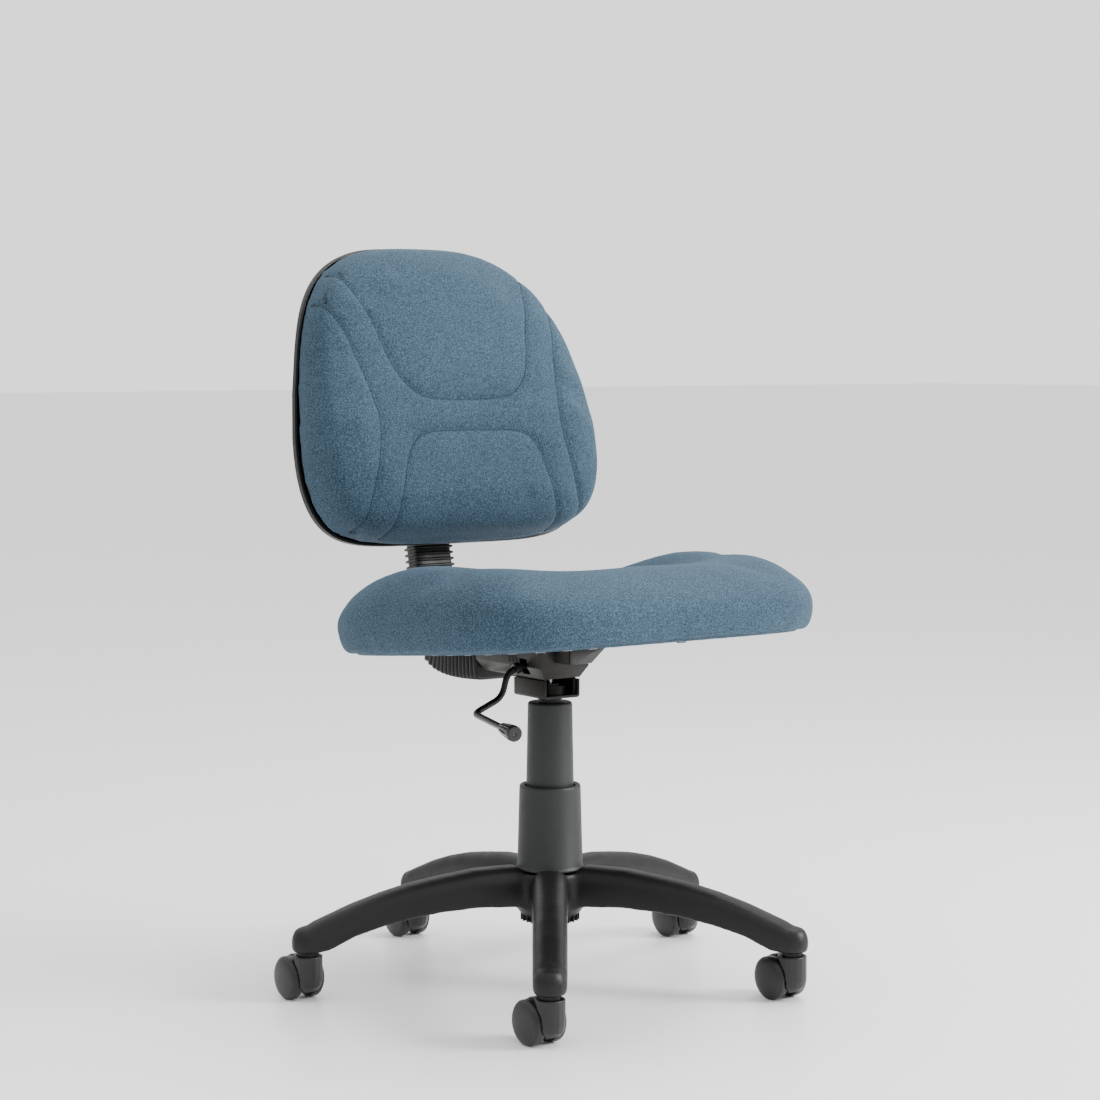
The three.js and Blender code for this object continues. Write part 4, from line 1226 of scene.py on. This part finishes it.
    def build(self) -> None:
        """Makes the cushion, its stitching and the shell."""
        pad = Workshop.loft("back_upholstery", [self.ring(scale, self.face_depth(share, scale))
                                                for scale, share in smooth_rows(self.FACE, 5)])
        self.puff(pad, lambda p: self.place.into(p).y - self.swept(self.place.into(p).z)
                  > self.rim_y - self.board - 0.004)
        forward = self.place.matrix().to_3x3() @ Vector((0.0, 1.0, 0.0))
        lines = [onto_surface(pad, line, forward, self.EDGE_DEPTH, 0.0) for line in self._seams()]
        crease_lines(pad, lines, 0.0036, 0.0058)
        stitched = [onto_surface(pad, line, forward, self.EDGE_DEPTH, 0.0002) for line in self._seams()]
        row = RowTree.STITCH.along("back_stitching", stitched, 0.0031, (0.00115, 0.00062, 0.0005),
                                   Finishes.THREAD)
        Workshop.finish(pad, "back", Finishes.CLOTH, "back_cushion", crease=180.0)
        Workshop.finish(row, "back", Finishes.THREAD)
        self._shell()

    def _seams(self) -> list[Loop]:
        """Draws the four seams in front of the cushion's face.

        Returns:
            The seams.
        """
        in_front = -0.18
        seams = []
        for half in (self.UPPER_SEAM, self.LOWER_SEAM):
            dense = smooth_rows(half, self.SEAM_STEPS)
            both = [(-x, z) for x, z in reversed(dense[1:])] + dense
            seams.append([self.place.out(x, in_front, z) for x, z in both])
        for side in (-1, 1):
            dense = smooth_rows(self.SIDE_SEAM, self.SEAM_STEPS)
            seams.append([self.place.out(side * x, in_front, z) for x, z in dense])
        return seams

    def _shell(self) -> None:
        """Makes the moulded shell with its lip and the slot that the upright enters by."""
        wall, lip = 0.003, 0.007
        width = self.half_width + 0.001

        def rings(inset: float) -> list[Loop]:
            """Draws one skin of the shell, from its lip to its middle.

            Args:
                inset: how far the skin lies inside the outer one.

            Returns:
                The skin's rings.
            """
            shrink = (width - inset) / self.half_width
            depth = self.shell_depth - inset
            return [self.ring(shrink, lambda x, z: self.rim_y - lip)] + [
                self.ring(scale * shrink, lambda x, z, s=share: self.rim_y + s * depth)
                for scale, share in smooth_rows(self.SHELL, 4)]

        outer, inner = rings(0.0), rings(wall)
        count = len(outer[0])
        points = [p for loop in outer + inner for p in loop]
        faces = []
        half = len(outer)
        for block in (0, half):
            for i in range(half - 1):
                a, b = (block + i) * count, (block + i + 1) * count
                faces += [(a + j, a + (j + 1) % count, b + (j + 1) % count, b + j) for j in range(count)]
            last = (block + half - 1) * count
            points.append(sum(points[last:last + count], Vector()) / count)
            faces += [(len(points) - 1, last + j, last + (j + 1) % count) for j in range(count)]
        faces += [(j, (j + 1) % count, half * count + (j + 1) % count, half * count + j)
                  for j in range(count)]
        shell = Workshop.piece("back_moulded_shell", points, faces)
        slot = Workshop.loft("slot_cutter", [[self.place.out(x * 0.0325, y, z) for x, y in
                                              ((-1, -0.019), (1, -0.019), (1, 0.05), (-1, 0.05))]
                                             for z in (-0.06, 0.064)])
        cutter = shell.modifiers.new("slot", "BOOLEAN")
        cutter.object = slot
        cutter.operation = "DIFFERENCE"
        cutter.solver = "EXACT"
        Workshop.apply(shell)
        bpy.data.objects.remove(slot)
        Workshop.finish(shell, "back", Finishes.SHELL, "back_shell", crease=32.0)


# ------------------------------------------------------------------ upright and boots
@dataclass
class Upright:
    """The J-bar's two ribbed boots, drawn along the bar.

    Attributes:
        back: frame of the upright.
        column_y: the column axis.
        half_width: half a boot's width between its ribs.
        half_depth: half a boot's depth between its ribs.
        rib: how far a rib stands out.
        pitch: distance from rib to rib.
    """
    back: LeaningFrame
    column_y: float
    half_width: float = 0.0265
    half_depth: float = 0.0122
    rib: float = 0.003
    pitch: float = 0.0078

    # Points along the centreline, under the seat and round the bend.
    FLAT_STEPS = 20
    BEND_STEPS = 80
    UPRIGHT_STEPS = 60
    MOUTH = 0.0662  # where the seat boot starts, along the bar
    JOIN = 0.012  # from where the boots meet to the end of the bend
    REACH = 0.102  # how far the back boot goes up the upright
    CREASE = 50.0
    # Share of the pitch and of the rib's height.
    RIB_PROFILE = ((0.0, 0.0), (0.3, 0.0), (0.42, 0.85), (0.5, 1.0), (0.66, 1.0), (0.74, 0.85), (0.88, 0.0))

    def path(self) -> list[Vector]:
        """Draws the bar's centreline from the housing to the top, closely spaced.

        Returns:
            The centreline.
        """
        start = Vector((0.0, self.column_y + 0.046, 0.373))
        bend_from = Vector((0.0, self.column_y + 0.110, 0.3675))
        pull_from = Vector((0.0, self.column_y + 0.232, 0.356))
        bend_to = self.back.out(0.0, 0.0, -0.042)
        pull_to = self.back.out(0.0, 0.001, -0.122)
        line = [start.lerp(bend_from, k / self.FLAT_STEPS) for k in range(self.FLAT_STEPS)]
        for k in range(self.BEND_STEPS + 1):
            t = k / self.BEND_STEPS
            u = 1 - t
            line.append(bend_from * u ** 3 + pull_from * 3 * u * u * t + pull_to * 3 * u * t * t
                        + bend_to * t ** 3)
        upright_top = self.back.out(0.0, 0.0, 0.165)
        line += [bend_to.lerp(upright_top, k / self.UPRIGHT_STEPS) for k in range(1, self.UPRIGHT_STEPS + 1)]
        return line

    @staticmethod
    def lengths_along(line: Sequence[Vector]) -> np.ndarray:
        """Returns the distance along a line of each of its points."""
        return np.concatenate([[0.0], np.cumsum([(b - a).length for a, b in zip(line, line[1:])])])

    def bellows(self, name: str, start: float, end: float, extra: float) -> bpy.types.Object:
        """Makes a ribbed boot over a stretch of the bar.

        Args:
            name: the object's name.
            start: where it starts, as a distance along the bar.
            end: where it ends.
            extra: how much deeper it is at its start.

        Returns:
            The linked object.
        """
        line = self.path()
        lengths = self.lengths_along(line)
        ribs = max(2, round((end - start) / self.pitch))
        stations = [(start + (end - start) * (i + at) / ribs, rise)
                    for i in range(ribs) for at, rise in self.RIB_PROFILE]
        stations.append((end, 0.0))
        loops = []
        for distance, rise in stations:
            i = min(int(np.searchsorted(lengths, distance, side="right")) - 1, len(line) - 2)
            share = float((distance - lengths[i]) / (lengths[i + 1] - lengths[i]))
            centre = line[i].lerp(line[i + 1], share)
            before, after = line[max(0, i - 1)], line[min(len(line) - 1, i + 2)]
            tangent = (after - before).normalized()
            across = Vector((0.0, -tangent.z, tangent.y))
            deeper = extra * (1 - (distance - start) / (end - start))
            wide = self.half_width + self.rib * rise
            deep = self.half_depth + deeper + self.rib * rise
            loops.append([centre + Vector((1.0, 0.0, 0.0)) * wide * signed_power(math.cos(a), 0.3)
                          + across * deep * signed_power(math.sin(a), 0.3)
                          for a in (2 * math.pi * j / 48 for j in range(48))])
        return Workshop.loft(name, loops)

    def build(self) -> None:
        """Makes both boots."""
        bend = float(self.lengths_along(self.path())[self.FLAT_STEPS + self.BEND_STEPS])
        split = bend - self.JOIN
        lower = self.bellows("seat_boot_bellows", self.MOUTH, split - 0.0008, 0.003)
        Workshop.finish(lower, "seat", Finishes.RUBBER, "seat_boot", crease=self.CREASE)
        upper = self.bellows("back_boot_bellows", split, bend + self.REACH, 0.0)
        upper.data.materials.clear()
        upper.data.materials.append(Finishes.RUBBER.value.material())
        upper.data.shade_smooth()
        upper.data.set_sharp_from_angle(angle=math.radians(self.CREASE))
        tuple(self.back.out(0, 0, -0.05))
        tuple(self.back.out(0, 0, 0.055))
        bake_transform(upper)
        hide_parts("back_boot")
        LOG.info("back_boot_bellows: blended from seat to back")


# ------------------------------------------------------------------ base and castors
@dataclass
class Base:
    """The star base with its hub ribs, and the castors under it.

    Attributes:
        column_y: the column axis.
        castor_circle: column axis to castor stem.
        wheel_radius: radius of a castor wheel.
        wheel_width: width of a castor wheel.
        wheel_spread: castor centre plane to wheel centre plane.
        trail: castor stem to axle.
    """
    column_y: float
    castor_circle: float = 0.292
    wheel_radius: float = 0.025
    wheel_width: float = 0.015
    wheel_spread: float = 0.0155
    trail: float = 0.020

    def build(self) -> None:
        """Makes the base, its ribs and five castors."""
        star = Workshop.softened("star_base", "star_base_moulding", 0.0026, 18)
        Workshop.finish(star, "base", Finishes.NYLON, "star_base", crease=180.0)
        self._hub_ribs()
        for index in range(1, ARM_COUNT + 1):
            self._castor(index)

    def _hub_ribs(self) -> None:
        """Sets stiffening ribs round the hub's skirt."""
        radius, height, rib_count, points = 0.0315, 0.0810, 24, 60
        line = [Vector((radius * math.cos(a), self.column_y + radius * math.sin(a), height))
                for a in (2 * math.pi * (j + 0.5) / points for j in range(points))]
        row = RowTree.RIB.along("hub_ribs", [line], 2 * math.pi * radius / rib_count,
                                (0.0014, 0.0070, 0.0100), Finishes.NYLON, cyclic=True)
        Workshop.finish(row, "base", Finishes.NYLON)

    def _castor(self, index: int) -> None:
        """Makes one castor's hood and wheels.

        Args:
            index: the castor's number, from 1.
        """
        angle = math.pi / 2 + (index - 1) * 2 * math.pi / ARM_COUNT
        x = self.castor_circle * math.cos(angle)
        y = self.column_y + self.castor_circle * math.sin(angle)
        body = f"castor_{index}"
        hood = Workshop.softened(f"{body}_hood", f"{body}_hood_moulding", 0.0011, 4)
        Workshop.finish(hood, body, Finishes.WHEEL, f"{body}_hood", crease=180.0)
        for side, name in ((-1, "right"), (1, "left")):
            place = (Matrix.Translation((x + side * self.wheel_spread, y + self.trail, self.wheel_radius))
                     @ Matrix.Rotation(side * math.pi / 2, 4, "Y"))
            wheel = Workshop.turned(f"{body}_wheel_{name}_disc", self._wheel_profile(), place)
            Workshop.finish(wheel, f"{body}_{name}", Finishes.WHEEL, f"{body}_wheel_{name}", crease=30.0)

    def _wheel_profile(self) -> list[tuple[float, float]]:
        """Draws a wheel's section: tread, thin groove and smooth domed face.

        Returns:
            The section's radii and heights.
        """
        r, half = self.wheel_radius, self.wheel_width / 2
        dome = [(r * 0.92 * math.cos(t), half - 0.0035 + 0.0042 * math.sin(t))
                for t in (math.pi / 2 * k / 10 for k in range(11))]
        dome[-1] = (0.0, dome[-1][1])
        return [(0.0045, -half), (r - 0.0018, -half), (r - 0.0005, -half + 0.0004), (r, -half + 0.0015),
                (r, half - 0.0056), (r - 0.0004, half - 0.0046), (r - 0.0013, half - 0.0038),
                (r * 0.93, half - 0.0038), *dome, (0.0, half - 0.0065), (0.0045, half - 0.0065)]


# ------------------------------------------------------------------ column and mechanism
@dataclass
class Column:
    """The telescopic covers and the pressed-steel mechanism.

    Attributes:
        column_y: the column axis.
    """
    column_y: float

    def build(self) -> None:
        """Makes the covers, bracket, housing, cap and bar."""
        axis = Matrix.Translation((0.0, self.column_y, 0.0))
        lower = Workshop.turned("lower_cover_sleeve", [
            (0.0355, 0.1373), (0.0398, 0.1373), (0.0402, 0.1377), (0.0402, 0.1392), (0.0396, 0.1400),
            (0.0386, 0.1425), (0.0362, 0.2325), (0.0360, 0.2343), (0.0355, 0.2357), (0.0346, 0.2365),
            (0.0336, 0.2367), (0.0326, 0.2362), (0.0312, 0.2352), (0.0302, 0.2350), (0.0302, 0.2325),
            (0.0337, 0.2310)], axis, 96)
        Workshop.finish(lower, "base", Finishes.COVER, "lower_cover", crease=50.0)
        upper = Workshop.turned("upper_cover_sleeve", [
            (0.0271, 0.2040), (0.0286, 0.2040), (0.0262, 0.3305), (0.0260, 0.3322), (0.0253, 0.3334),
            (0.0242, 0.3340), (0.0145, 0.3340), (0.0145, 0.3310), (0.0247, 0.3300)], axis, 96)
        Workshop.finish(upper, "column", Finishes.COVER, "upper_cover", crease=50.0)
        cylinder = Workshop.turned("gas_cylinder_tube", [
            (0.0056, 0.1620), (0.0140, 0.1620), (0.0140, 0.3440), (0.0134, 0.3480), (0.0125, 0.3560),
            (0.0036, 0.3560), (0.0036, 0.3420), (0.0105, 0.3420), (0.0105, 0.1680), (0.0056, 0.1680)],
            axis, 64)
        Workshop.finish(cylinder, "column", Finishes.TUBE, "gas_cylinder", crease=40.0)
        for node, name, body, width in (
                ("column_bracket", "bracket_pressing", "column", 0.0007),
                ("tilt_housing", "housing_pressing", "seat", 0.0009),
                ("j_bar", "bar_blank", "seat", 0.0010),
                ("spring_box", "front_cap", "seat", 0.0010)):
            made = Workshop.edged(node, name, width)
            finish = Finishes.KNOB if node == "spring_box" else Finishes.PAINT
            Workshop.finish(made, body, finish, node, crease=40.0)
        self._slots()

    def _slots(self) -> None:
        """Sets dark blocks on the housing's right cheek as painted shade for the slanting vent slots."""
        rows = []
        for k in range(3):
            y = self.column_y + 0.0195 + 0.0068 * k
            rows.append([Vector((-0.0338, y + 0.001 * t, 0.3815 + 0.003 * t)) for t in range(4)])
        # painted shade: the slots are rubber-finished blocks, darker than the housing's paint, not holes
        row = RowTree.STAPLE.along("vent_slot_shade", rows, 0.0031, (0.0034, 0.0022, 0.0016), Finishes.RUBBER)
        Workshop.finish(row, "seat", Finishes.RUBBER)


@dataclass
class Lever:
    """The lift lever: bent rod and fluted knob.

    Attributes:
        column_y: the column axis.
        radius: radius of the rod.
        bend: how far before a corner a bend starts.
        flutes: flutes round the knob.
    """
    column_y: float
    radius: float = 0.00375
    bend: float = 0.011
    flutes: int = 10

    # The rod's corners, with y from the column axis, its outer tip, and the length of the knob on it.
    ROUTE = ((0.0, 0.0, 0.3705), (-0.017, 0.005, 0.3725), (-0.033, 0.007, 0.3785), (-0.056, 0.007, 0.3715),
             (-0.064, 0.007, 0.343), (-0.103, 0.007, 0.327))
    TIP = (-0.138, -0.124, 0.322)
    KNOB = 0.041

    def build(self) -> None:
        """Makes the rod and the knob."""
        at = [Vector((x, self.column_y + y, z)) for x, y, z in (*self.ROUTE, self.TIP)]
        run = (at[-1] - at[-2]).normalized()
        root = at[-1] - run * self.KNOB
        rod = self._rod([*at[:-1], at[-1] - run * 0.006])
        Workshop.finish(rod, "lever", Finishes.TUBE, "lever_rod", crease=60.0)
        turn = run.to_track_quat("Z", "Y").to_matrix().to_4x4()
        knob = self._knob(Matrix.Translation(root) @ turn)
        Workshop.finish(knob, "lever", Finishes.KNOB, "lever_knob", crease=50.0)

    def _rod(self, corners: Sequence[Vector]) -> bpy.types.Object:
        """Bends a round rod through corners with even bends.

        Args:
            corners: the corners, ends included.

        Returns:
            The linked object.
        """
        line: list[Vector] = [corners[0]]
        for before, corner, after in zip(corners, corners[1:], corners[2:]):
            reach = min(self.bend, (corner - before).length / 2.1, (after - corner).length / 2.1)
            start = corner + (before - corner).normalized() * reach
            end = corner + (after - corner).normalized() * reach
            line += [start.lerp(corner, k / 8).lerp(corner.lerp(end, k / 8), k / 8) for k in range(9)]
        line.append(corners[-1])
        curve = bpy.data.curves.new("lever_route", "CURVE")
        curve.dimensions = "3D"
        curve.bevel_depth = self.radius
        curve.bevel_resolution = 6
        curve.use_fill_caps = True
        spline = curve.splines.new("POLY")
        spline.points.add(len(line) - 1)
        for point, co in zip(spline.points, line):
            point.co = (*co, 1.0)
        route = bpy.data.objects.new("lever_bent_rod", curve)
        bpy.context.scene.collection.objects.link(route)
        bpy.context.view_layer.update()
        return Workshop.apply(route)

    def _knob(self, place: Matrix) -> bpy.types.Object:
        """Makes the tapered knob, fluted along its length, with a dimpled end.

        Args:
            place: where its root stands, with Z along the rod.

        Returns:
            The linked object.
        """
        length, sides = self.KNOB, 80
        rows = ((0.0, 0.0052, 0.0), (0.0008, 0.0056, 0.0), (0.004, 0.0063, 0.4), (0.016, 0.0078, 1.0),
                (length - 0.010, 0.0091, 1.0), (length - 0.0065, 0.0092, 0.3), (length - 0.0055, 0.0092, 0.0),
                (length - 0.0018, 0.0091, 0.0), (length - 0.0005, 0.0084, 0.0), (length, 0.0070, 0.0),
                (length - 0.0001, 0.0022, 0.0), (length - 0.0007, 0.0012, 0.0))
        loops = []
        for z, radius, fluted in smooth_rows(rows, 3):
            loop = []
            for j in range(sides):
                angle = 2 * math.pi * j / sides
                groove = 0.0016 * max(0.0, fluted) * max(0.0, math.cos(angle * self.flutes)) ** 2
                r = max(0.0004, radius - groove)
                loop.append(place @ Vector((r * math.cos(angle), r * math.sin(angle), z)))
            loops.append(loop)
        return Workshop.loft("lever_fluted_knob", loops)


# ------------------------------------------------------------------ carried-over nodes
SEAT_BOLTS = tuple(f"seat_bolt_{k}" for k in range(1, 5))
CASTOR_STEELS = tuple(f"castor_{k}_{piece}" for k in range(1, ARM_COUNT + 1) for piece in ("stem", "axle"))
CARRIED = {
    Finishes.ZINC: ("thrust_bearing", "rod_clip", "valve_button", "tilt_pin", "clamp_bolt",
                    "shell_screw_right", "shell_screw_left"),
    # the castor steels and seat bolts take the steel darkened as painted shade
    Finishes.SHADED_STEEL: SEAT_BOLTS + CASTOR_STEELS,
    Finishes.CHROME: ("piston_rod",),
    Finishes.BRASS: ("clamp_nut",),
    Finishes.NYLON: ("guide_bush",),
    Finishes.TUBE: ("column_tube",),
    Finishes.RUBBER: ("torsion_sleeve",),
    Finishes.KNOB: ("lever_collar",),
    Finishes.PLY: ("seat_board", "back_board"),
    Finishes.PAINT: ("back_carriage",),
}


# ------------------------------------------------------------------ studio
@dataclass
class Studio:
    """Floor, light and camera.

    Attributes:
        column_y: the column axis.
        distance: camera to column axis.
        height: camera above the floor.
        swing: camera's side swing from the chair's front, in radians.
        film: width of the film, in millimetres.
        lens: focal length, in millimetres.
        pitch: how far the camera looks down, in radians.
        horizon: strength of the room's light from the side.
        zenith: strength of the room's light from above.
        backdrop: strength of the room where the camera sees it.
    """
    column_y: float
    distance: float = 3.05
    height: float = 0.745
    swing: float = math.radians(36.0)
    film: float = 36.0
    lens: float = 85.7127
    pitch: float = math.radians(4.36692)
    horizon: float = 0.6
    zenith: float = 2.0
    backdrop: float = 1.65

    # Each lamp's name, place, diameter and watts.
    LAMPS = (("key", (2.1, -2.2, 1.7), 1.2, 145.0), ("top", (0.9, 0.1, 2.9), 1.6, 45.0))
    AIM_HEIGHT = 0.45
    FLOOR_REACH = 40.0

    def build(self) -> None:
        """Sets up the whole studio."""
        self._floor()
        self._lights()
        self._camera()

    def _floor(self) -> None:
        """Lays a large pale floor."""
        corners = [Vector((x * self.FLOOR_REACH, y * self.FLOOR_REACH, 0.0))
                   for x, y in ((-1, -1), (1, -1), (1, 1), (-1, 1))]
        floor = Workshop.piece("studio_floor", corners, [(0, 1, 2, 3)])
        floor.data.materials.append(Finishes.FLOOR.value.material())

    def _lights(self) -> None:
        """Hangs two soft boxes in a bright room."""
        world = bpy.data.worlds.new("studio_world")
        world.use_nodes = True
        world.node_tree.nodes.clear()
        graph = Graph(world.node_tree)
        direction = graph.node("ShaderNodeTexCoord", output="Generated")
        height = graph.node("ShaderNodeSeparateXYZ", None, {"Vector": direction}, output="Z")
        sky = graph.node("ShaderNodeMapRange", None, {"Value": height, "From Min": -0.1, "From Max": 0.9,
                                                      "To Min": self.horizon, "To Max": self.zenith})
        seen = graph.node("ShaderNodeLightPath", output="Is Camera Ray")
        strength = sky + seen * (self.backdrop - sky)
        lit = graph.node("ShaderNodeBackground", None, {"Color": (1.0, 1.0, 1.0, 1.0), "Strength": strength})
        graph.node("ShaderNodeOutputWorld", None, {"Surface": lit})
        bpy.context.scene.world = world
        target = Vector((0.0, self.column_y, self.AIM_HEIGHT))
        for name, place, size, power in self.LAMPS:
            light = bpy.data.lights.new(name, "AREA")
            light.shape = "DISK"
            light.size = size
            light.energy = power
            lamp = bpy.data.objects.new(name, light)
            lamp.location = place
            lamp.rotation_euler = (target - Vector(place)).to_track_quat("-Z", "Y").to_euler()
            bpy.context.scene.collection.objects.link(lamp)

    def _camera(self) -> None:
        """Stands the camera in front of the chair, to the sitter's right."""
        lens = bpy.data.cameras.new("camera")
        lens.sensor_width = self.film
        lens.lens = self.lens
        camera = bpy.data.objects.new("camera", lens)
        camera.location = (-math.sin(self.swing) * self.distance,
                           self.column_y - math.cos(self.swing) * self.distance, self.height)
        camera.rotation_euler = (math.pi / 2 - self.pitch, 0.0, -self.swing)
        bpy.context.scene.collection.objects.link(camera)
        bpy.context.scene.camera = camera


def main() -> None:
    """Builds the chair's looks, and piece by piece."""
    logging.basicConfig(level=logging.INFO, format="%(name)s: %(message)s")
    low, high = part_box("gas_cylinder")
    column_y = (low.y + high.y) / 2
    seat_frame = LeaningFrame(Vector((0.0, column_y, SEAT_UNDERSIDE)), SEAT_LEAN)
    back_frame = LeaningFrame(Vector((0.0, column_y + UPRIGHT_SETBACK, UPRIGHT_FOOT)), UPRIGHT_LEAN)
    Studio(column_y).build()
    Seat(place=seat_frame, relax=16).build()
    Back(place=back_frame).build()
    Upright(back_frame, column_y).build()
    Base(column_y).build()
    Column(column_y).build()
    Lever(column_y).build()
    for finish, nodes in CARRIED.items():
        for node in nodes:
            Workshop.dress_node(node, finish)


if __name__ == "__main__":
    main()
